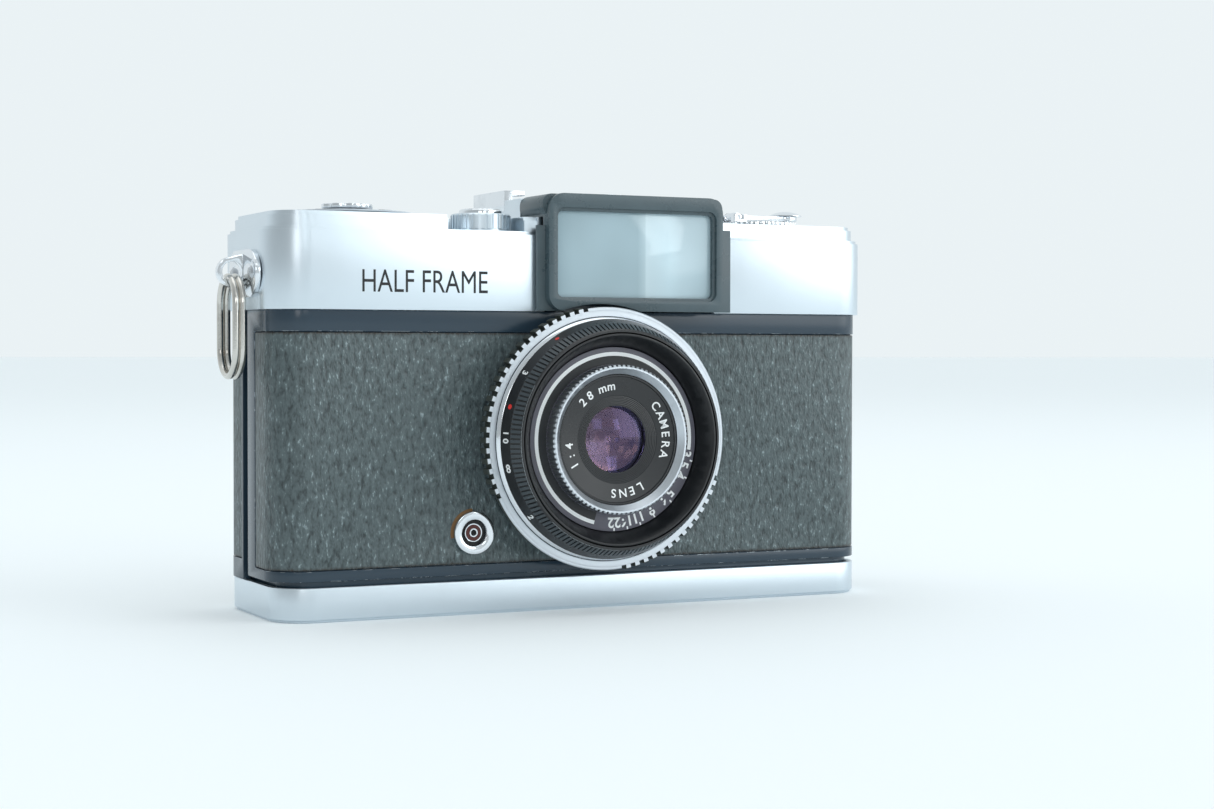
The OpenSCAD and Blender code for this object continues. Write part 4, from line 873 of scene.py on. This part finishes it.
# Painted reflection and painted highlight: the tone across the pane stands for the mirror's
# reflection of the room and a lighter band of light.
tone = ramp(tree, (across, "Result"), [(0.0, "9fb6bf"), (0.12, "a9bfc7"), (0.52, "a3b9c1"),
            (0.565, "b7ccd3"), (0.575, "c9dce3"), (0.72, "c3d9e1"), (0.80, "b9ced6"),
            (1.0, "adc3cb")])
patchy = add(tree, "ShaderNodeTexNoise", {"Vector": (place, "Object"), "Scale": 1 / (9 * MM),
             "Detail": 1.0})
tint = add(tree, "ShaderNodeHueSaturation", {"Color": (tone, "Color")})
lift = add(tree, "ShaderNodeMapRange", {"Value": (patchy, "Fac"), "To Min": 0.85, "To Max": 1.15})
tree.links.new(lift.outputs["Result"], tint.inputs["Value"])
tree.links.new(tint.outputs["Color"], shader.inputs["Base Color"])
soften("finder_window", pane_glass, 0.1)

# %% [markdown]
# ## Parts hidden inside
# The film rails, the finder tube, the blades and the pressure plate keep their CAD mesh, because
# nothing of them shows from outside. They get their finish only.

# %% Parts that keep their CAD mesh
for node, material in (
        ("film_rails", TURNED_STEEL), ("finder_tube", BLACK_PLASTIC),
        ("shutter_blade_1", SPRING_STEEL), ("shutter_blade_2", SPRING_STEEL),
        ("pressure_plate", BLACK_LACQUER_AND_HOLLOW_SHADE), ("plate_springs", SPRING_STEEL),
        *((f"aperture_blade_{i}", BLACK_LACQUER_AND_HOLLOW_SHADE) for i in range(1, 6))):
    frame["nodes"][node].data.materials.clear()
    frame["nodes"][node].data.materials.append(material)

# %% [markdown]
# ## Floor, light and camera
# A pale table, a bright room with three window panes in front, and three soft lamps: a small one at
# the front left, a weak one overhead and a large one at the front right. The room is a little
# darker to the left, which puts the grey band on the rounded corner of the plated cover.

# %% Stage
bpy.ops.mesh.primitive_plane_add(size=30, location=(0, 0, CAD_BOX[0].z))
floor = bpy.context.object
floor.name = "table"
paper, tree, shader = new_material("white_paper", "eaeff1", 0, 0.8,
                                   Emission_Color=linear("eef6fa"), Emission_Strength=0.14)
floor.data.materials.append(paper)

world = bpy.data.worlds.new("bright_room")
bpy.context.scene.world = world
world.use_nodes = True
tree = world.node_tree
room = tree.nodes["Background"]
room.inputs["Color"].default_value = linear("f2fafd")
way = add(tree, "ShaderNodeTexCoord")


def toward(direction, start, end, amount):
    """How far a direction of the room points the same way as the one given, as a soft step."""
    dot = add(tree, "ShaderNodeVectorMath", {0: (way, "Generated"), 1: direction},
              operation="DOT_PRODUCT")
    return add(tree, "ShaderNodeMapRange", {"Value": (dot, "Value"), "From Min": start,
               "From Max": end, "To Max": amount}, interpolation_type="SMOOTHSTEP")


def pane(direction, width, height, strength):
    """A window seen from the table: a bright rectangle round a direction of the room."""
    straight = Vector(direction).normalized()
    side = straight.cross(Vector((0, 0, 1))).normalized()
    lit = None
    for axis, half in ((side, width / 2), (side.cross(straight), height / 2)):
        across = add(tree, "ShaderNodeVectorMath", {0: (way, "Generated"), 1: axis},
                     operation="DOT_PRODUCT")
        off = add(tree, "ShaderNodeMath", {0: (across, "Value")}, operation="ABSOLUTE")
        inside = add(tree, "ShaderNodeMapRange", {"Value": (off, "Value"), "From Min": half,
                     "From Max": half + 0.02, "To Min": 1, "To Max": 0})
        lit = inside if lit is None else add(tree, "ShaderNodeMath", {
            0: (lit, "Result"), 1: (inside, "Result")}, operation="MULTIPLY")
    front = toward(straight, 0.5, 0.55, strength)
    return add(tree, "ShaderNodeMath", {0: (lit, "Value"), 1: (front, "Result")},
               operation="MULTIPLY")


shade = toward((-0.75, -0.66, 0), -0.1, 0.9, 0.4)
window = toward((0.85, -0.53, 0), 0.78, 0.97, 0.9)
level = add(tree, "ShaderNodeMath", {0: 0.93, 1: (shade, "Result")}, operation="SUBTRACT")
level = add(tree, "ShaderNodeMath", {0: (level, "Value"), 1: (window, "Result")}, operation="ADD")
for opening in (pane((0.0, -0.95, 0.31), 0.18, 0.20, 2), pane((0.45, -0.86, 0.27), 0.12, 0.2, 3),
                pane((0.12, -0.9, 0.72), 0.3, 0.16, 0.7)):
    level = add(tree, "ShaderNodeMath", {0: (level, "Value"), 1: (opening, "Value")},
                operation="ADD")
tree.links.new(level.outputs["Value"], room.inputs["Strength"])
bpy.context.scene.view_settings.view_transform = "Standard"


def soft_lamp(name, place, size, power):
    """A square lamp that looks at the camera body."""
    data = bpy.data.lights.new(name, "AREA")
    data.size, data.energy = size, power
    lamp = bpy.data.objects.new(name, data)
    bpy.context.collection.objects.link(lamp)
    lamp.location = place
    lamp.rotation_euler = (Vector((0, 0, 0.03)) - Vector(place)).to_track_quat("-Z", "Y").to_euler()
    return lamp


soft_lamp("front_left_softbox", (-0.50, -1.08, 0.35), 0.30, 0.7)
soft_lamp("overhead_softbox", (0.1, 0.1, 1.1), 0.9, 1.6)
soft_lamp("front_right_softbox", (1.15, -0.96, 0.5), 1.2, 4.5)

# %% Camera
EYE = Vector((-150.16, -324.04, 41.27)) * MM
YAW, PITCH, ROLL = math.radians(26.26), math.radians(-1.40), math.radians(0.09)
data = bpy.data.cameras.new("view")
data.sensor_width, data.lens, data.clip_start = 36, 63.4, 0.01
camera = bpy.data.objects.new("view", data)
bpy.context.collection.objects.link(camera)
forward = Vector((math.sin(YAW) * math.cos(PITCH), math.cos(YAW) * math.cos(PITCH),
                  math.sin(PITCH)))
right = Vector((math.cos(YAW), -math.sin(YAW), 0))
up = right.cross(forward)
facing = Matrix((right, up, -forward)).transposed().to_4x4()
camera.matrix_world = Matrix.Translation(EYE) @ facing @ Matrix.Rotation(ROLL, 4, "Z")
bpy.context.scene.camera = camera
